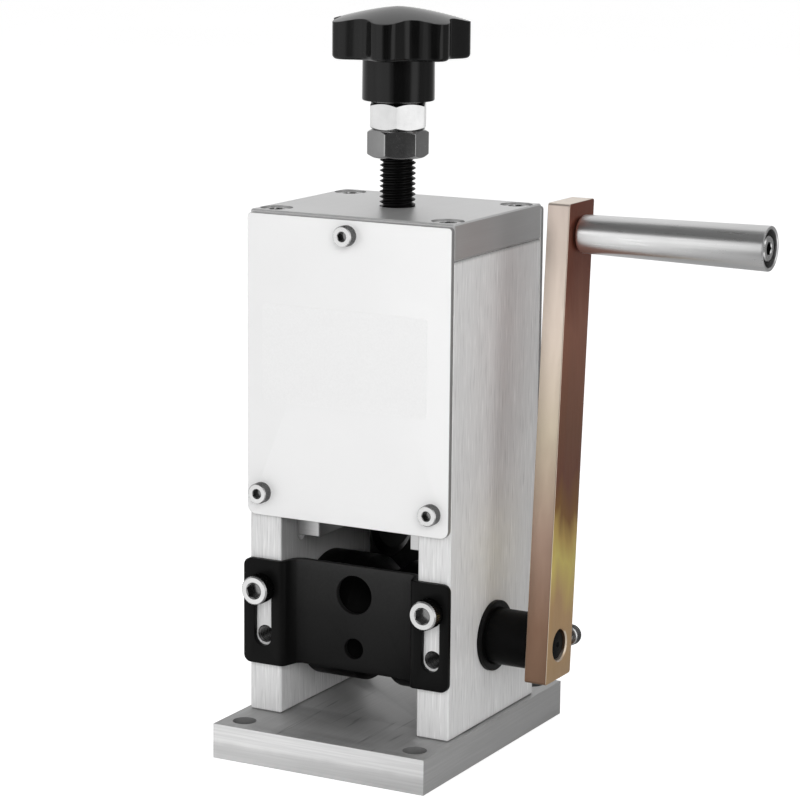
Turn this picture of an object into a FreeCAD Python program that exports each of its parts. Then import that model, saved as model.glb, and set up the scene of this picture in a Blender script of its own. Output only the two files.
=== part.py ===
import FreeCAD, Part
import math
import os

# Bench wire stripper with a hand crank, in millimetres, +Z up, the feeding side towards -Y.
# The origin is on the underside of the base plate, below the axis of the adjusting spindle.

V = FreeCAD.Vector

# ---- frame of plates ----
plate_t = 12.0            # side plates
inner_width = 52.0        # clear width between the side plates
body_depth = 64.0         # side plates and top plate, front to back
side_height = 160.0
top_t = 12.0
base_t = 12.0
base_side = 2.0           # how far the base stands out past each side plate
base_front = 21.0
base_back = 19.0
edge_break = 0.5          # small chamfer on the plates' sawn edges

# ---- holes in the base for bench screws ----
mount_hole_r = 4.0
mount_hole_edge = 8.0     # hole centre to the front and back edges
mount_hole_side = 7.5     # hole centre to the side edges

# ---- socket head cap screws: head diameter 1.5 d + 1, head height d, key d - 1 ----
screw_frame = 6.0
screw_cover = 4.0
screw_handle = 5.0
screw_clamp = 4.0
screw_keeper = 3.0
frame_screw_len = 30.0
cover_screw_len = 10.0
guide_screw_len = 14.0
keeper_screw_len = 10.0
foot_screw_y = 22.0       # base screws, from the middle of the side plate
top_screw_y = 25.0
counterbore_gap = 0.5     # radial room round a sunk head
counterbore_sink = 0.5    # how far a sunk head lies under the face
hole_gap = 0.25           # radial room of a plain screw hole
thread_gap = 0.05         # radial room between a screw and its tapped hole
tap_extra = 2.0           # tapped holes run this much past the screw's tip

# ---- covers ----
cover_t = 2.0
cover_height = 102.0
cover_top_gap = 1.0       # cover's top edge below the top face
cover_corner = 3.0        # lower corners
cover_top_corner = 1.2
cover_screw_low = 8.0     # lower screws above the cover's bottom edge
label_w = 62.0
label_h = 33.0
label_t = 0.15
label_centre_x = -1.2
label_centre_z = 136.6
label_corner = 1.5

# ---- guide plates for the wire ----
guide_t = 2.0
guide_right_out = 0.5     # how far the right ear stands out past the side plate
guide_left_out = 1.4
guide_wall_gap = 0.26     # slanted wall to the side plate's inner face
guide_height = 36.4
guide_recess = 7.5        # how far the middle lies behind the ears
guide_slant = 2.0         # sideways run of the slanted wall
guide_corner = 2.6
rear_guide_lift = 8.0     # the rear plate is set this much higher, with its big hole at the blade
guide_screw_z = 56.0
guide_spare_z = 39.3      # second tapped hole below each guide screw
slot_r = 3.3
slot_margin = 6.3         # slot's end to the plate's edge
big_hole_r = 6.7
big_hole_z = 26.4         # above the guide plate's lower edge
small_hole_r = 3.6
small_hole_z = 7.8
guide_hole_x = -0.9       # both wire holes, from the middle of the machine

# ---- feed roller on its shaft ----
shaft_above_base = 29.0
roller_r = 21.75
roller_side_gap = 0.3     # roller end to side plate
groove_w = 14.4
groove_depth = 4.6
groove_floor_w = 1.2
shaft_r = 9.5
shaft_end_r = 5.25        # stepped end that carries the crank arm
shaft_blind = 9.0         # depth of the blind bore in the left plate
bush_wall = 1.5
bush_flange_r = 12.0
bush_flange_t = 1.8
run_gap = 0.05            # radial clearance of running fits
key_w = 5.0
key_h = 5.0
key_len = 20.0

# ---- crank ----
arm_inner_gap = 15.2      # bush flange to the crank arm
arm_t = 8.0
arm_w = 19.0
arm_tail = 11.6           # shaft axis to the arm's level lower end
arm_reach = 137.5         # shaft axis to handle axis
arm_nose = 10.6           # handle axis to the arm's level upper end
arm_corner = 1.0
arm_lean = 4.1            # degrees from upright, towards the back
shaft_end_sink = 0.8      # shaft end below the arm's outer face
clamp_flat = 0.4          # flat on the shaft's end, under the clamp screw
clamp_len = 10.0
handle_arm_gap = 0.4      # sleeve's inner end to the arm
handle_gap = 0.1          # running gap of the sleeve on its washers
handle_washer_t = 0.9     # sunk in the sleeve's inner end
handle_washer_r = 4.3
handle_len = 65.8
handle_inner_r = 6.4      # sleeve radius beside the arm
handle_outer_r = 7.35     # sleeve radius at the outer end
handle_round = 1.4
handle_mouth_r = 6.2      # recess for the screw head
handle_mouth_depth = 6.8
handle_pad_t = 1.2        # washer under the screw head

# ---- adjusting spindle, nuts and knob ----
spindle_r = 6.0
nut_flats = 18.0
nut_chamfer_r = 8.6       # round face left by the chamfer at each end
lock_nut_h = 9.4
knob_nut_h = 9.0
lock_nut_above_top = 16.4
lock_nut_turn = 3.0       # degrees
knob_nut_turn = 24.5
knob_boss_r = 9.4         # low boss that bears on the nut
knob_boss_h = 0.5
knob_hub_r = 12.1
knob_hub_h = 14.1
knob_r = 23.7
knob_valley_r = 19.0
knob_rim_h = 12.1
knob_dome_h = 4.8
knob_dome_curve = 1.5     # power of the dome's fall towards the rim
knob_lobes = 7
knob_lobe_half = 12.6     # degrees, from a lobe's middle to where the valley starts
knob_turn = -74.9         # degrees, first lobe
knob_hole_depth = 22.0

# ---- blade carrier between the side plates ----
carrier_height = 50.0
carrier_depth = 42.6
carrier_gap = 0.2         # carrier to side plate, each side
cheek_lip = 1.4           # cheek left outside the snap ring
bridge_h = 18.0
neck_r = 4.0
neck_collar_r = 7.0
collar_h = 5.2
collar_gap = 0.15
keeper_t = 4.0
keeper_w = 26.0
keeper_d = 26.0
keeper_split = 0.4
keeper_screw_x = 9.5
keeper_screw_y = 9.5
rail_w = 5.5              # guide keys on the carrier's sides
rail_out = 2.6
rail_sink = 2.0
rail_y = 18.0
rail_low = 6.0            # key's lower end above the carrier's lower edge
rail_len = 40.0
rail_slot_gap = 0.2
rail_run_out = 3.1        # slot's round end below the key at its lowest

# ---- blade ----
axle_above_carrier = 9.5
blade_gap = 5.85          # blade's edge above the roller's groove
axle_r = 4.0
blade_r = 18.0
blade_t = 2.0
blade_bevel = 3.0
blade_edge_t = 0.2
blade_collar_r = 5.3
blade_flange_r = 10.0
blade_flange_t = 3.0
bearing_r = 8.0
bearing_w = 5.0
bearing_ring_t = 1.1
bearing_inset = 1.0
bearing_ball_count = 9
snap_ring_t = 1.0
snap_ring_w = 2.2

blade_down = 5.4          # the carrier's travel below this height

# ---- places worked out from the sizes above ----
body_w = inner_width + 2 * plate_t
half_in = inner_width / 2
half_out = body_w / 2
front_y = -body_depth / 2
back_y = body_depth / 2
side_x = half_in + plate_t / 2
base_w = body_w + 2 * base_side
top_z0 = base_t + side_height
top_z1 = top_z0 + top_t
shaft_z = base_t + shaft_above_base
cover_z1 = top_z1 - cover_top_gap
cover_z0 = cover_z1 - cover_height
cover_low_z = cover_z0 + cover_screw_low
cover_top_z = top_z0 + top_t / 2
bush_r = shaft_r + bush_wall + run_gap
arm_x0 = half_out + bush_flange_t + arm_inner_gap
arm_x1 = arm_x0 + arm_t
clamp_tip_y = shaft_end_r - clamp_flat
guide_slot_half = guide_height / 2 - slot_margin - slot_r
guide_z0 = guide_screw_z - guide_slot_half - guide_height / 2
axle_z = shaft_z + roller_r - groove_depth + blade_gap + blade_r
carrier_z0 = axle_z - axle_above_carrier
carrier_z1 = carrier_z0 + carrier_height
carrier_half_w = half_in - carrier_gap
cheek_t = bearing_inset + bearing_w + snap_ring_t + cheek_lip
cheek_x = carrier_half_w - cheek_t
rail_slot_bottom = carrier_z0 + rail_low - blade_down - rail_run_out
keeper_z0 = carrier_z1
neck_z1 = keeper_z0 + keeper_t + collar_gap
lock_nut_z = top_z1 + lock_nut_above_top
knob_nut_z = lock_nut_z + lock_nut_h
knob_z = knob_nut_z + knob_nut_h
handle_x0 = arm_x1 + handle_arm_gap
handle_x1 = handle_x0 + handle_len


def box(x0, x1, y0, y1, z0, z1):
    return Part.makeBox(x1 - x0, y1 - y0, z1 - z0, V(x0, y0, z0))


def along_x(radius, x0, x1, y, z):
    return Part.makeCylinder(radius, x1 - x0, V(x0, y, z), V(1, 0, 0))


def along_y(radius, y0, y1, x, z):
    return Part.makeCylinder(radius, y1 - y0, V(x, y0, z), V(0, 1, 0))


def along_z(radius, z0, z1, x=0.0, y=0.0):
    return Part.makeCylinder(radius, z1 - z0, V(x, y, z0), V(0, 0, 1))


def turned_x(profile, y, z):
    """Solid of revolution about the X line through (y, z), from (x, radius) points."""
    points = [V(x, y, z + r) for x, r in profile]
    face = Part.Face(Part.makePolygon(points + points[:1]))
    return face.revolve(V(0, y, z), V(1, 0, 0), 360)


def edges_along(shape, direction, keep):
    """Straight edges that run along a direction and whose middle passes a test."""
    found = []
    for edge in shape.Edges:
        if not isinstance(edge.Curve, Part.Line):
            continue
        run = edge.Vertexes[-1].Point.sub(edge.Vertexes[0].Point)
        if run.cross(direction).Length < 1e-6 * run.Length and keep(edge.CenterOfMass):
            found.append(edge)
    return found


def broken(shape, size=edge_break):
    """A plate with all its straight outer edges chamfered a little."""
    return shape.makeChamfer(size, shape.Edges)


def placed(shape, at, direction):
    """Turns a shape made along +Z to a direction and moves it to a point."""
    copy = shape.copy()
    copy.Placement = FreeCAD.Placement(at, FreeCAD.Rotation(V(0, 0, 1), direction))
    return copy


def hexagon(flats, z0, z1, turn=0.0):
    corner = flats / math.sqrt(3)
    points = [V(corner * math.cos(math.radians(turn + 30 + 60 * k)),
                corner * math.sin(math.radians(turn + 30 + 60 * k)), z0) for k in range(7)]
    return Part.Face(Part.makePolygon(points)).extrude(V(0, 0, z1 - z0))


def cap_screw(size, length):
    """Socket head cap screw: underside of its head at the origin, shank towards -Z."""
    head_r = (1.5 * size + 1) / 2
    head = along_z(head_r, 0, size)
    rims = [e for e in head.Edges if isinstance(e.Curve, Part.Circle) and e.CenterOfMass.z > size / 2]
    head = head.makeChamfer(size / 12, rims)
    head = head.cut(hexagon(size - 1, size / 2, size + 1))
    tip = Part.makeCone(size / 2 - size / 10, size / 2, size / 10, V(0, 0, -length), V(0, 0, 1))
    shank = along_z(size / 2, -length + size / 10, 0)
    return head.fuse([shank, tip]).removeSplitter()


def screw_at(size, length, at, direction):
    return placed(cap_screw(size, length), at, direction)


def tapped(size, length, at, direction):
    """Cutter for a tapped hole whose screw enters at a point, against a direction."""
    depth = length + tap_extra
    hole = along_z(size / 2 + thread_gap, -depth, 1)
    return placed(hole, at, direction)


def head_sink(size):
    return size + counterbore_sink


def sunk_hole(size, through, at, direction):
    """Cutter for a counterbored plain hole that starts at a face."""
    bore = along_z(size / 2 + hole_gap, -through - 1, 1)
    sink = along_z((1.5 * size + 1) / 2 + counterbore_gap, -head_sink(size), 1)
    return placed(bore.fuse(sink), at, direction)


def group(shapes):
    return Part.makeCompound(shapes)


# ---- frame ----
def mount_spots():
    x = base_w / 2 - mount_hole_side
    y_front = front_y - base_front + mount_hole_edge
    y_back = back_y + base_back - mount_hole_edge
    return [(sx * x, y) for sx in (-1, 1) for y in (y_front, y_back)]


def foot_spots():
    return [(sx * side_x, sy * foot_screw_y) for sx in (-1, 1) for sy in (-1, 1)]


def top_spots():
    return [(sx * side_x, sy * top_screw_y) for sx in (-1, 1) for sy in (-1, 1)]


def base_plate():
    plate = broken(box(-base_w / 2, base_w / 2, front_y - base_front, back_y + base_back, 0, base_t))
    for x, y in mount_spots():
        plate = plate.cut(along_z(mount_hole_r, -1, base_t + 1, x, y))
    for x, y in foot_spots():
        plate = plate.cut(sunk_hole(screw_frame, base_t, V(x, y, 0), V(0, 0, -1)))
    return plate


def base_screws():
    up = head_sink(screw_frame)
    return group([screw_at(screw_frame, frame_screw_len, V(x, y, up), V(0, 0, -1))
                  for x, y in foot_spots()])


def rail_slot(side, sy):
    """Groove in a side plate's inner face for a guide key, with a round lower end."""
    depth = rail_out + rail_slot_gap
    half = rail_w / 2 + rail_slot_gap
    x0, x1 = (half_in - 1, half_in + depth) if side > 0 else (-half_in - depth, -half_in + 1)
    z0 = rail_slot_bottom + half
    straight = box(x0, x1, sy * rail_y - half, sy * rail_y + half, z0, top_z0 + 1)
    return straight.fuse(along_x(half, x0, x1, sy * rail_y, z0))


def side_plate(side):
    x0, x1 = (half_in, half_out) if side > 0 else (-half_out, -half_in)
    plate = broken(box(x0, x1, front_y, back_y, base_t, top_z0))
    centre = side * side_x
    for y in (-foot_screw_y, foot_screw_y):
        reach = frame_screw_len - base_t + head_sink(screw_frame)
        plate = plate.cut(tapped(screw_frame, reach, V(centre, y, base_t), V(0, 0, -1)))
    for y in (-top_screw_y, top_screw_y):
        reach = frame_screw_len - top_t + head_sink(screw_frame)
        plate = plate.cut(tapped(screw_frame, reach, V(centre, y, top_z0), V(0, 0, 1)))
    for face_y, out in ((front_y, -1), (back_y, 1)):
        for z in (guide_screw_z, guide_spare_z):
            reach = guide_screw_len - guide_t
            plate = plate.cut(tapped(screw_frame, reach, V(centre, face_y, z), V(0, out, 0)))
        reach = cover_screw_len - cover_t
        plate = plate.cut(tapped(screw_cover, reach, V(centre, face_y, cover_low_z), V(0, out, 0)))
    for sy in (-1, 1):
        plate = plate.cut(rail_slot(side, sy))
    if side > 0:
        bore = along_x(bush_r + run_gap, half_in - 1, half_out + 1, 0, shaft_z)
    else:
        bore = along_x(bush_r + run_gap, -half_in - shaft_blind, -half_in + 1, 0, shaft_z)
    return plate.cut(bore)


def top_plate():
    plate = broken(box(-half_out, half_out, front_y, back_y, top_z0, top_z1))
    plate = plate.cut(along_z(spindle_r + run_gap, top_z0 - 1, top_z1 + 1))
    for x, y in top_spots():
        plate = plate.cut(sunk_hole(screw_frame, top_t, V(x, y, top_z1), V(0, 0, 1)))
    for face_y, out in ((front_y, -1), (back_y, 1)):
        reach = cover_screw_len - cover_t
        plate = plate.cut(tapped(screw_cover, reach, V(0, face_y, cover_top_z), V(0, out, 0)))
    return plate


def top_plate_screws():
    z = top_z1 - head_sink(screw_frame)
    return group([screw_at(screw_frame, frame_screw_len, V(x, y, z), V(0, 0, 1))
                  for x, y in top_spots()])


# ---- covers ----
def cover_spots():
    return [(0.0, cover_top_z), (-side_x, cover_low_z), (side_x, cover_low_z)]


def cover(out):
    y0, y1 = (front_y - cover_t, front_y) if out < 0 else (back_y, back_y + cover_t)
    sheet = box(-half_out, half_out, y0, y1, cover_z0, cover_z1)
    middle = (cover_z0 + cover_z1) / 2
    sheet = sheet.makeFillet(cover_corner, edges_along(sheet, V(0, 1, 0), lambda c: c.z < middle))
    sheet = sheet.makeFillet(cover_top_corner, edges_along(sheet, V(0, 1, 0), lambda c: c.z > middle))
    for x, z in cover_spots():
        sheet = sheet.cut(along_y(screw_cover / 2 + hole_gap, y0 - 1, y1 + 1, x, z))
    return sheet


def cover_screws(out):
    y = front_y - cover_t if out < 0 else back_y + cover_t
    return group([screw_at(screw_cover, cover_screw_len, V(x, y, z), V(0, out, 0))
                  for x, z in cover_spots()])


def blank_label():
    y1 = front_y - cover_t
    z0 = label_centre_z - label_h / 2
    x0 = label_centre_x - label_w / 2
    sheet = box(x0, x0 + label_w, y1 - label_t, y1, z0, z0 + label_h)
    return sheet.makeFillet(label_corner, edges_along(sheet, V(0, 1, 0), lambda c: True))


# ---- guide plates ----
def guide_outline():
    """The bent plate seen from above: ears in front at y = 0, middle behind them."""
    left, right = -half_out - guide_left_out, half_out + guide_right_out
    wall = guide_t * math.hypot(guide_slant, guide_recess) / guide_recess
    lag = guide_slant * guide_t / guide_recess
    bend = half_in - guide_wall_gap
    ear = bend - wall + lag
    front = [(ear, 0), (ear - guide_slant, guide_recess)]
    back = [(bend, guide_t), (bend - guide_slant, guide_recess + guide_t)]
    outline = [(left, 0)] + [(-x, y) for x, y in front] + front[::-1] + [(right, 0), (right, guide_t)]
    return outline + back + [(-x, y) for x, y in back[::-1]] + [(left, guide_t)]


def guide_plate():
    """The plate at its lowest, for the front of the machine."""
    y0 = front_y - guide_t
    points = [V(x, y0 + y, guide_z0) for x, y in guide_outline()]
    plate = Part.Face(Part.makePolygon(points + points[:1])).extrude(V(0, 0, guide_height))
    bends = edges_along(plate, V(0, 0, 1), lambda c: abs(c.x) < half_in)
    plate = plate.makeFillet(guide_t / 2 - 0.1, bends)
    corners = edges_along(plate, V(0, 1, 0), lambda c: abs(c.x) > half_in)
    plate = plate.makeFillet(guide_corner, corners)
    middle = guide_z0 + guide_height / 2
    low, high = middle - guide_slot_half, middle + guide_slot_half
    for side in (-1, 1):
        x = side * side_x
        slot = box(x - slot_r, x + slot_r, y0 - 1, front_y + 1, low, high)
        for z in (low, high):
            slot = slot.fuse(along_y(slot_r, y0 - 1, front_y + 1, x, z))
        plate = plate.cut(slot)
    for radius, z in ((big_hole_r, big_hole_z), (small_hole_r, small_hole_z)):
        plate = plate.cut(along_y(radius, y0, front_y + guide_recess + guide_t, guide_hole_x, guide_z0 + z))
    return plate


def raised(shape, height):
    copy = shape.copy()
    copy.translate(V(0, 0, height))
    return copy


def half_turn(shape):
    """The same piece on the back of the machine."""
    copy = shape.copy()
    copy.rotate(V(0, 0, 0), V(0, 0, 1), 180)
    return copy


def guide_screws():
    y = front_y - guide_t
    return group([screw_at(screw_frame, guide_screw_len, V(x, y, guide_screw_z), V(0, -1, 0))
                  for x in (-side_x, side_x)])


# ---- feed roller and shaft ----
def roller_half_length():
    return half_in - roller_side_gap


def feed_roller():
    end = roller_half_length()
    floor_r = roller_r - groove_depth
    profile = [(-end, 0), (-end, roller_r - edge_break), (-end + edge_break, roller_r),
               (-groove_w / 2, roller_r), (-groove_floor_w / 2, floor_r), (groove_floor_w / 2, floor_r),
               (groove_w / 2, roller_r), (end - edge_break, roller_r), (end, roller_r - edge_break), (end, 0)]
    roller = turned_x(profile, 0, shaft_z)
    roller = roller.cut(along_x(shaft_r, -half_in, half_in, 0, shaft_z))
    return roller.cut(key_block(key_len + 2 * run_gap, run_gap))


def key_block(length, gap=0.0):
    z0 = shaft_z + shaft_r - key_h / 2
    return box(-length / 2, length / 2, -key_w / 2 - gap, key_w / 2 + gap, z0 - gap, z0 + key_h + gap)


def main_shaft():
    x0 = -half_in - shaft_blind + roller_side_gap
    shaft = along_x(shaft_r, x0, arm_x0, 0, shaft_z)
    shaft = shaft.fuse(along_x(shaft_end_r, arm_x0, arm_x1 - shaft_end_sink, 0, shaft_z))
    flat = box(arm_x0, arm_x1, clamp_tip_y, shaft_end_r, shaft_z - shaft_end_r, shaft_z + shaft_end_r)
    shaft = shaft.cut(leaned(flat))
    return shaft.cut(key_block(key_len + 2 * run_gap, run_gap))


def left_bush():
    x0 = -half_in - shaft_blind
    tube = along_x(bush_r, x0, -half_in, 0, shaft_z)
    return tube.cut(along_x(shaft_r + run_gap, x0 - 1, half_in, 0, shaft_z))


def right_bush():
    tube = along_x(bush_r, half_in, half_out, 0, shaft_z)
    flange = along_x(bush_flange_r, half_out, half_out + bush_flange_t, 0, shaft_z)
    bore = along_x(shaft_r + run_gap, 0, arm_x0, 0, shaft_z)
    return tube.fuse(flange).cut(bore).removeSplitter()


# ---- crank ----
def leaned(shape):
    """The crank's pieces are made upright and leaned back about the shaft."""
    copy = shape.copy()
    copy.rotate(V(0, 0, shaft_z), V(1, 0, 0), -arm_lean)
    return copy


def handle_z():
    return shaft_z + arm_reach


def crank_arm():
    """A leaned bar whose two ends are level."""
    slope = math.tan(math.radians(arm_lean))
    half = arm_w / 2 / math.cos(math.radians(arm_lean))
    z0 = shaft_z - arm_tail
    z1 = shaft_z + arm_reach * math.cos(math.radians(arm_lean)) + arm_nose
    low, high = (z0 - shaft_z) * slope, (z1 - shaft_z) * slope
    corners = [(low - half, z0), (low + half, z0), (high + half, z1), (high - half, z1)]
    points = [V(arm_x0, y, z) for y, z in corners]
    bar = Part.Face(Part.makePolygon(points + points[:1])).extrude(V(arm_t, 0, 0))
    bar = bar.makeFillet(arm_corner, edges_along(bar, V(1, 0, 0), lambda c: True))
    bar = bar.makeChamfer(edge_break / 2, [e for e in bar.Edges if abs(e.CenterOfMass.x - arm_x1) < 1e-6
                                           or abs(e.CenterOfMass.x - arm_x0) < 1e-6])
    bar = bar.cut(along_x(shaft_end_r + run_gap / 2, arm_x0 - 1, arm_x1 + 1, 0, shaft_z))
    mouth = Part.makeCone(shaft_end_r + run_gap / 2, shaft_end_r + edge_break, edge_break,
                          V(arm_x1 - edge_break, 0, shaft_z), V(1, 0, 0))
    bar = bar.cut(mouth)
    bar = bar.cut(leaned(along_x(screw_handle / 2 + thread_gap, arm_x0 - 1, arm_x1 + 1, 0, handle_z())))
    middle = arm_x0 + arm_t / 2
    return bar.cut(leaned(along_y(screw_clamp / 2 + thread_gap, 0, arm_w, middle, shaft_z)))


def arm_clamp_screw():
    """Bears on the flat of the shaft's stepped end; its head stays clear of the arm."""
    at = V(arm_x0 + arm_t / 2, clamp_tip_y + clamp_len, shaft_z)
    return leaned(screw_at(screw_clamp, clamp_len, at, V(0, 1, 0)))


def handle_sleeve():
    bore_r = screw_handle / 2 + run_gap
    mouth_x = handle_x1 - handle_mouth_depth
    seat_x = arm_x1 + handle_washer_t + handle_gap
    seat_r = handle_washer_r + handle_gap
    profile = [(seat_x, bore_r), (seat_x, seat_r), (handle_x0, seat_r), (handle_x0, handle_inner_r),
               (handle_x1, handle_outer_r), (handle_x1, handle_mouth_r), (mouth_x, handle_mouth_r),
               (mouth_x, bore_r)]
    sleeve = turned_x(profile, 0, handle_z())
    inner_rim = [e for e in sleeve.Edges if isinstance(e.Curve, Part.Circle)
                 and abs(e.CenterOfMass.x - handle_x0) < 1e-6 and abs(e.Curve.Radius - handle_inner_r) < 1e-6]
    return leaned(sleeve.makeFillet(handle_round, inner_rim))


def ring_x(outer, inner, x0, x1, y, z):
    return along_x(outer, x0, x1, y, z).cut(along_x(inner, x0 - 1, x1 + 1, y, z))


def handle_inner_washer():
    bore_r = screw_handle / 2 + thread_gap
    x1 = arm_x1 + handle_washer_t
    return leaned(ring_x(handle_washer_r, bore_r, arm_x1, x1, 0, handle_z()))


def handle_pad_x():
    return handle_x1 - handle_mouth_depth + handle_gap


def handle_pad():
    bore_r = screw_handle / 2 + thread_gap
    x0 = handle_pad_x()
    return leaned(ring_x(handle_mouth_r - handle_gap, bore_r, x0, x0 + handle_pad_t, 0, handle_z()))


def handle_bolt():
    head_x = handle_pad_x() + handle_pad_t
    return leaned(screw_at(screw_handle, head_x - arm_x0, V(head_x, 0, handle_z()), V(1, 0, 0)))


# ---- spindle, nuts and knob ----
def spindle():
    collar_z0 = carrier_z1 - collar_h - collar_gap
    rod = along_z(spindle_r, neck_z1, knob_z + knob_hole_depth)
    tip = [e for e in rod.Edges if isinstance(e.Curve, Part.Circle)]
    rod = rod.makeChamfer(1.0, tip)
    neck = along_z(neck_r, collar_z0, neck_z1 + 1)
    collar = along_z(neck_collar_r, collar_z0, collar_z0 + collar_h)
    return rod.fuse([neck, collar]).removeSplitter()


def hex_nut(z0, height, turn):
    nut = hexagon(nut_flats, z0, z0 + height, turn)
    corner = nut_flats / math.sqrt(3)
    reach = (corner - nut_chamfer_r) * math.tan(math.radians(30))
    body = along_z(corner, z0 + reach, z0 + height - reach)
    low = Part.makeCone(nut_chamfer_r, corner, reach, V(0, 0, z0), V(0, 0, 1))
    high = Part.makeCone(corner, nut_chamfer_r, reach, V(0, 0, z0 + height - reach), V(0, 0, 1))
    nut = nut.common(body.fuse([low, high]).removeSplitter())
    return nut.cut(along_z(spindle_r + thread_gap, z0 - 1, z0 + height + 1))


def knob_outline(z):
    """Scalloped star of arcs: one outward arc for each lobe and one inward arc between lobes."""
    step = 2 * math.pi / knob_lobes
    half = math.radians(knob_lobe_half)
    first = math.radians(knob_turn)
    joint_r = (knob_r + knob_valley_r) / 2

    def at(radius, angle):
        return V(radius * math.cos(angle), radius * math.sin(angle), z)

    edges = []
    for k in range(knob_lobes):
        centre = first + k * step
        a, b, c = centre - half, centre + half, centre + step - half
        edges.append(Part.Arc(at(joint_r, a), at(knob_r, centre), at(joint_r, b)).toShape())
        edges.append(Part.Arc(at(joint_r, b), at(knob_valley_r, centre + step / 2), at(joint_r, c)).toShape())
    return Part.Wire(edges)


def dome_body(z0, z1):
    """Solid of revolution under the dome, which falls slowly at first and then evenly to the rim."""
    reach = 1.1 * knob_r
    steps = [reach * i / 8 for i in range(9)]
    spots = [V(r, 0, z1 - knob_dome_h * (r / knob_r) ** knob_dome_curve) for r in steps]
    curve = Part.BSplineCurve()
    curve.interpolate(Points=spots, InitialTangent=V(1, 0, 0), FinalTangent=spots[-1].sub(spots[-2]))
    sides = Part.makePolygon([spots[-1], V(reach, 0, z0), V(0, 0, z0), spots[0]])
    face = Part.Face(Part.Wire([curve.toShape()] + sides.Edges))
    return face.revolve(V(0, 0, 0), V(0, 0, 1), 360)


def star_knob():
    hub_z = knob_z + knob_boss_h
    rim_z = hub_z + knob_hub_h
    top_z = rim_z + knob_rim_h + knob_dome_h
    star = Part.Face(knob_outline(rim_z)).extrude(V(0, 0, knob_rim_h + knob_dome_h))
    star = star.common(dome_body(rim_z, top_z))
    hub = along_z(knob_hub_r, hub_z, rim_z + 1)
    boss = along_z(knob_boss_r, knob_z, hub_z + 1)
    knob = star.fuse([hub, boss]).removeSplitter()
    return knob.cut(along_z(spindle_r + thread_gap, knob_z - 1, knob_z + knob_hole_depth + thread_gap))


# ---- blade carrier ----
def keeper_spots():
    return [(sx * keeper_screw_x, sy * keeper_screw_y) for sx in (-1, 1) for sy in (-1, 1)]


def rail(side, sy, gap=0.0):
    x_in = carrier_half_w - rail_sink
    x_out = half_in + rail_out
    x0, x1 = (x_in, x_out) if side > 0 else (-x_out, -x_in)
    z0 = carrier_z0 + rail_low
    y = sy * rail_y
    return box(x0, x1, y - rail_w / 2 - gap, y + rail_w / 2 + gap, z0, z0 + rail_len)


def carrier_keys():
    return group([rail(side, sy) for side in (-1, 1) for sy in (-1, 1)])


def blade_carrier():
    half_d = carrier_depth / 2
    block = box(-carrier_half_w, carrier_half_w, -half_d, half_d, carrier_z0, carrier_z1)
    hollow = box(-cheek_x, cheek_x, -half_d - 1, half_d + 1, carrier_z0 - 1, carrier_z1 - bridge_h)
    block = broken(block.cut(hollow), edge_break / 2)
    bearing_bore = along_x(bearing_r, -carrier_half_w - 1, carrier_half_w + 1, 0, axle_z)
    block = block.cut(bearing_bore)
    collar_bore = along_z(neck_collar_r + run_gap, carrier_z1 - collar_h - 2 * collar_gap, carrier_z1 + 1)
    block = block.cut(collar_bore)
    for x, y in keeper_spots():
        reach = keeper_screw_len - keeper_t
        block = block.cut(tapped(screw_keeper, reach, V(x, y, carrier_z1), V(0, 0, 1)))
    for side in (-1, 1):
        for sy in (-1, 1):
            block = block.cut(rail(side, sy))
    return block


def spindle_keepers():
    """Two half plates that close round the spindle's neck."""
    z0, z1 = keeper_z0, keeper_z0 + keeper_t
    plate = box(-keeper_w / 2, keeper_w / 2, -keeper_d / 2, keeper_d / 2, z0, z1)
    plate = plate.cut(along_z(neck_r + run_gap, z0 - 1, z1 + 1))
    for x, y in keeper_spots():
        plate = plate.cut(along_z(screw_keeper / 2 + hole_gap, z0 - 1, z1 + 1, x, y))
    return plate.cut(box(-keeper_split / 2, keeper_split / 2, -keeper_d, keeper_d, z0 - 1, z1 + 1))


def keeper_screws():
    z = keeper_z0 + keeper_t
    return group([screw_at(screw_keeper, keeper_screw_len, V(x, y, z), V(0, 0, 1))
                  for x, y in keeper_spots()])


# ---- blade, axle and bearings ----
def bearing_x(side):
    x0 = cheek_x + bearing_inset
    return (x0, x0 + bearing_w) if side > 0 else (-x0 - bearing_w, -x0)


def outer_rings():
    rings = []
    for side in (-1, 1):
        x0, x1 = bearing_x(side)
        rings.append(ring_x(bearing_r, bearing_r - bearing_ring_t, x0, x1, 0, axle_z))
    return group(rings)


def inner_rings():
    rings = []
    for side in (-1, 1):
        x0, x1 = bearing_x(side)
        rings.append(ring_x(axle_r + bearing_ring_t, axle_r, x0, x1, 0, axle_z))
    return group(rings)


def bearing_balls():
    """One ring of balls for each bearing, between the inner and the outer ring."""
    path_r = (axle_r + bearing_r) / 2
    ball_r = (bearing_r - axle_r) / 2 - bearing_ring_t - run_gap
    balls = []
    for side in (-1, 1):
        x = sum(bearing_x(side)) / 2
        for k in range(bearing_ball_count):
            turn = 2 * math.pi * k / bearing_ball_count
            spot = V(x, path_r * math.cos(turn), axle_z + path_r * math.sin(turn))
            balls.append(Part.makeSphere(ball_r, spot))
    return group(balls)


def blade_axle():
    reach = cheek_x + bearing_inset + bearing_w
    return along_x(axle_r, -reach, reach, 0, axle_z)


def cutting_blade():
    half = blade_t / 2
    edge = blade_edge_t / 2
    profile = [(-half, axle_r), (-half, blade_r - blade_bevel), (-edge, blade_r), (edge, blade_r),
               (half, blade_r - blade_bevel), (half, axle_r)]
    return turned_x(profile, 0, axle_z)


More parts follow.
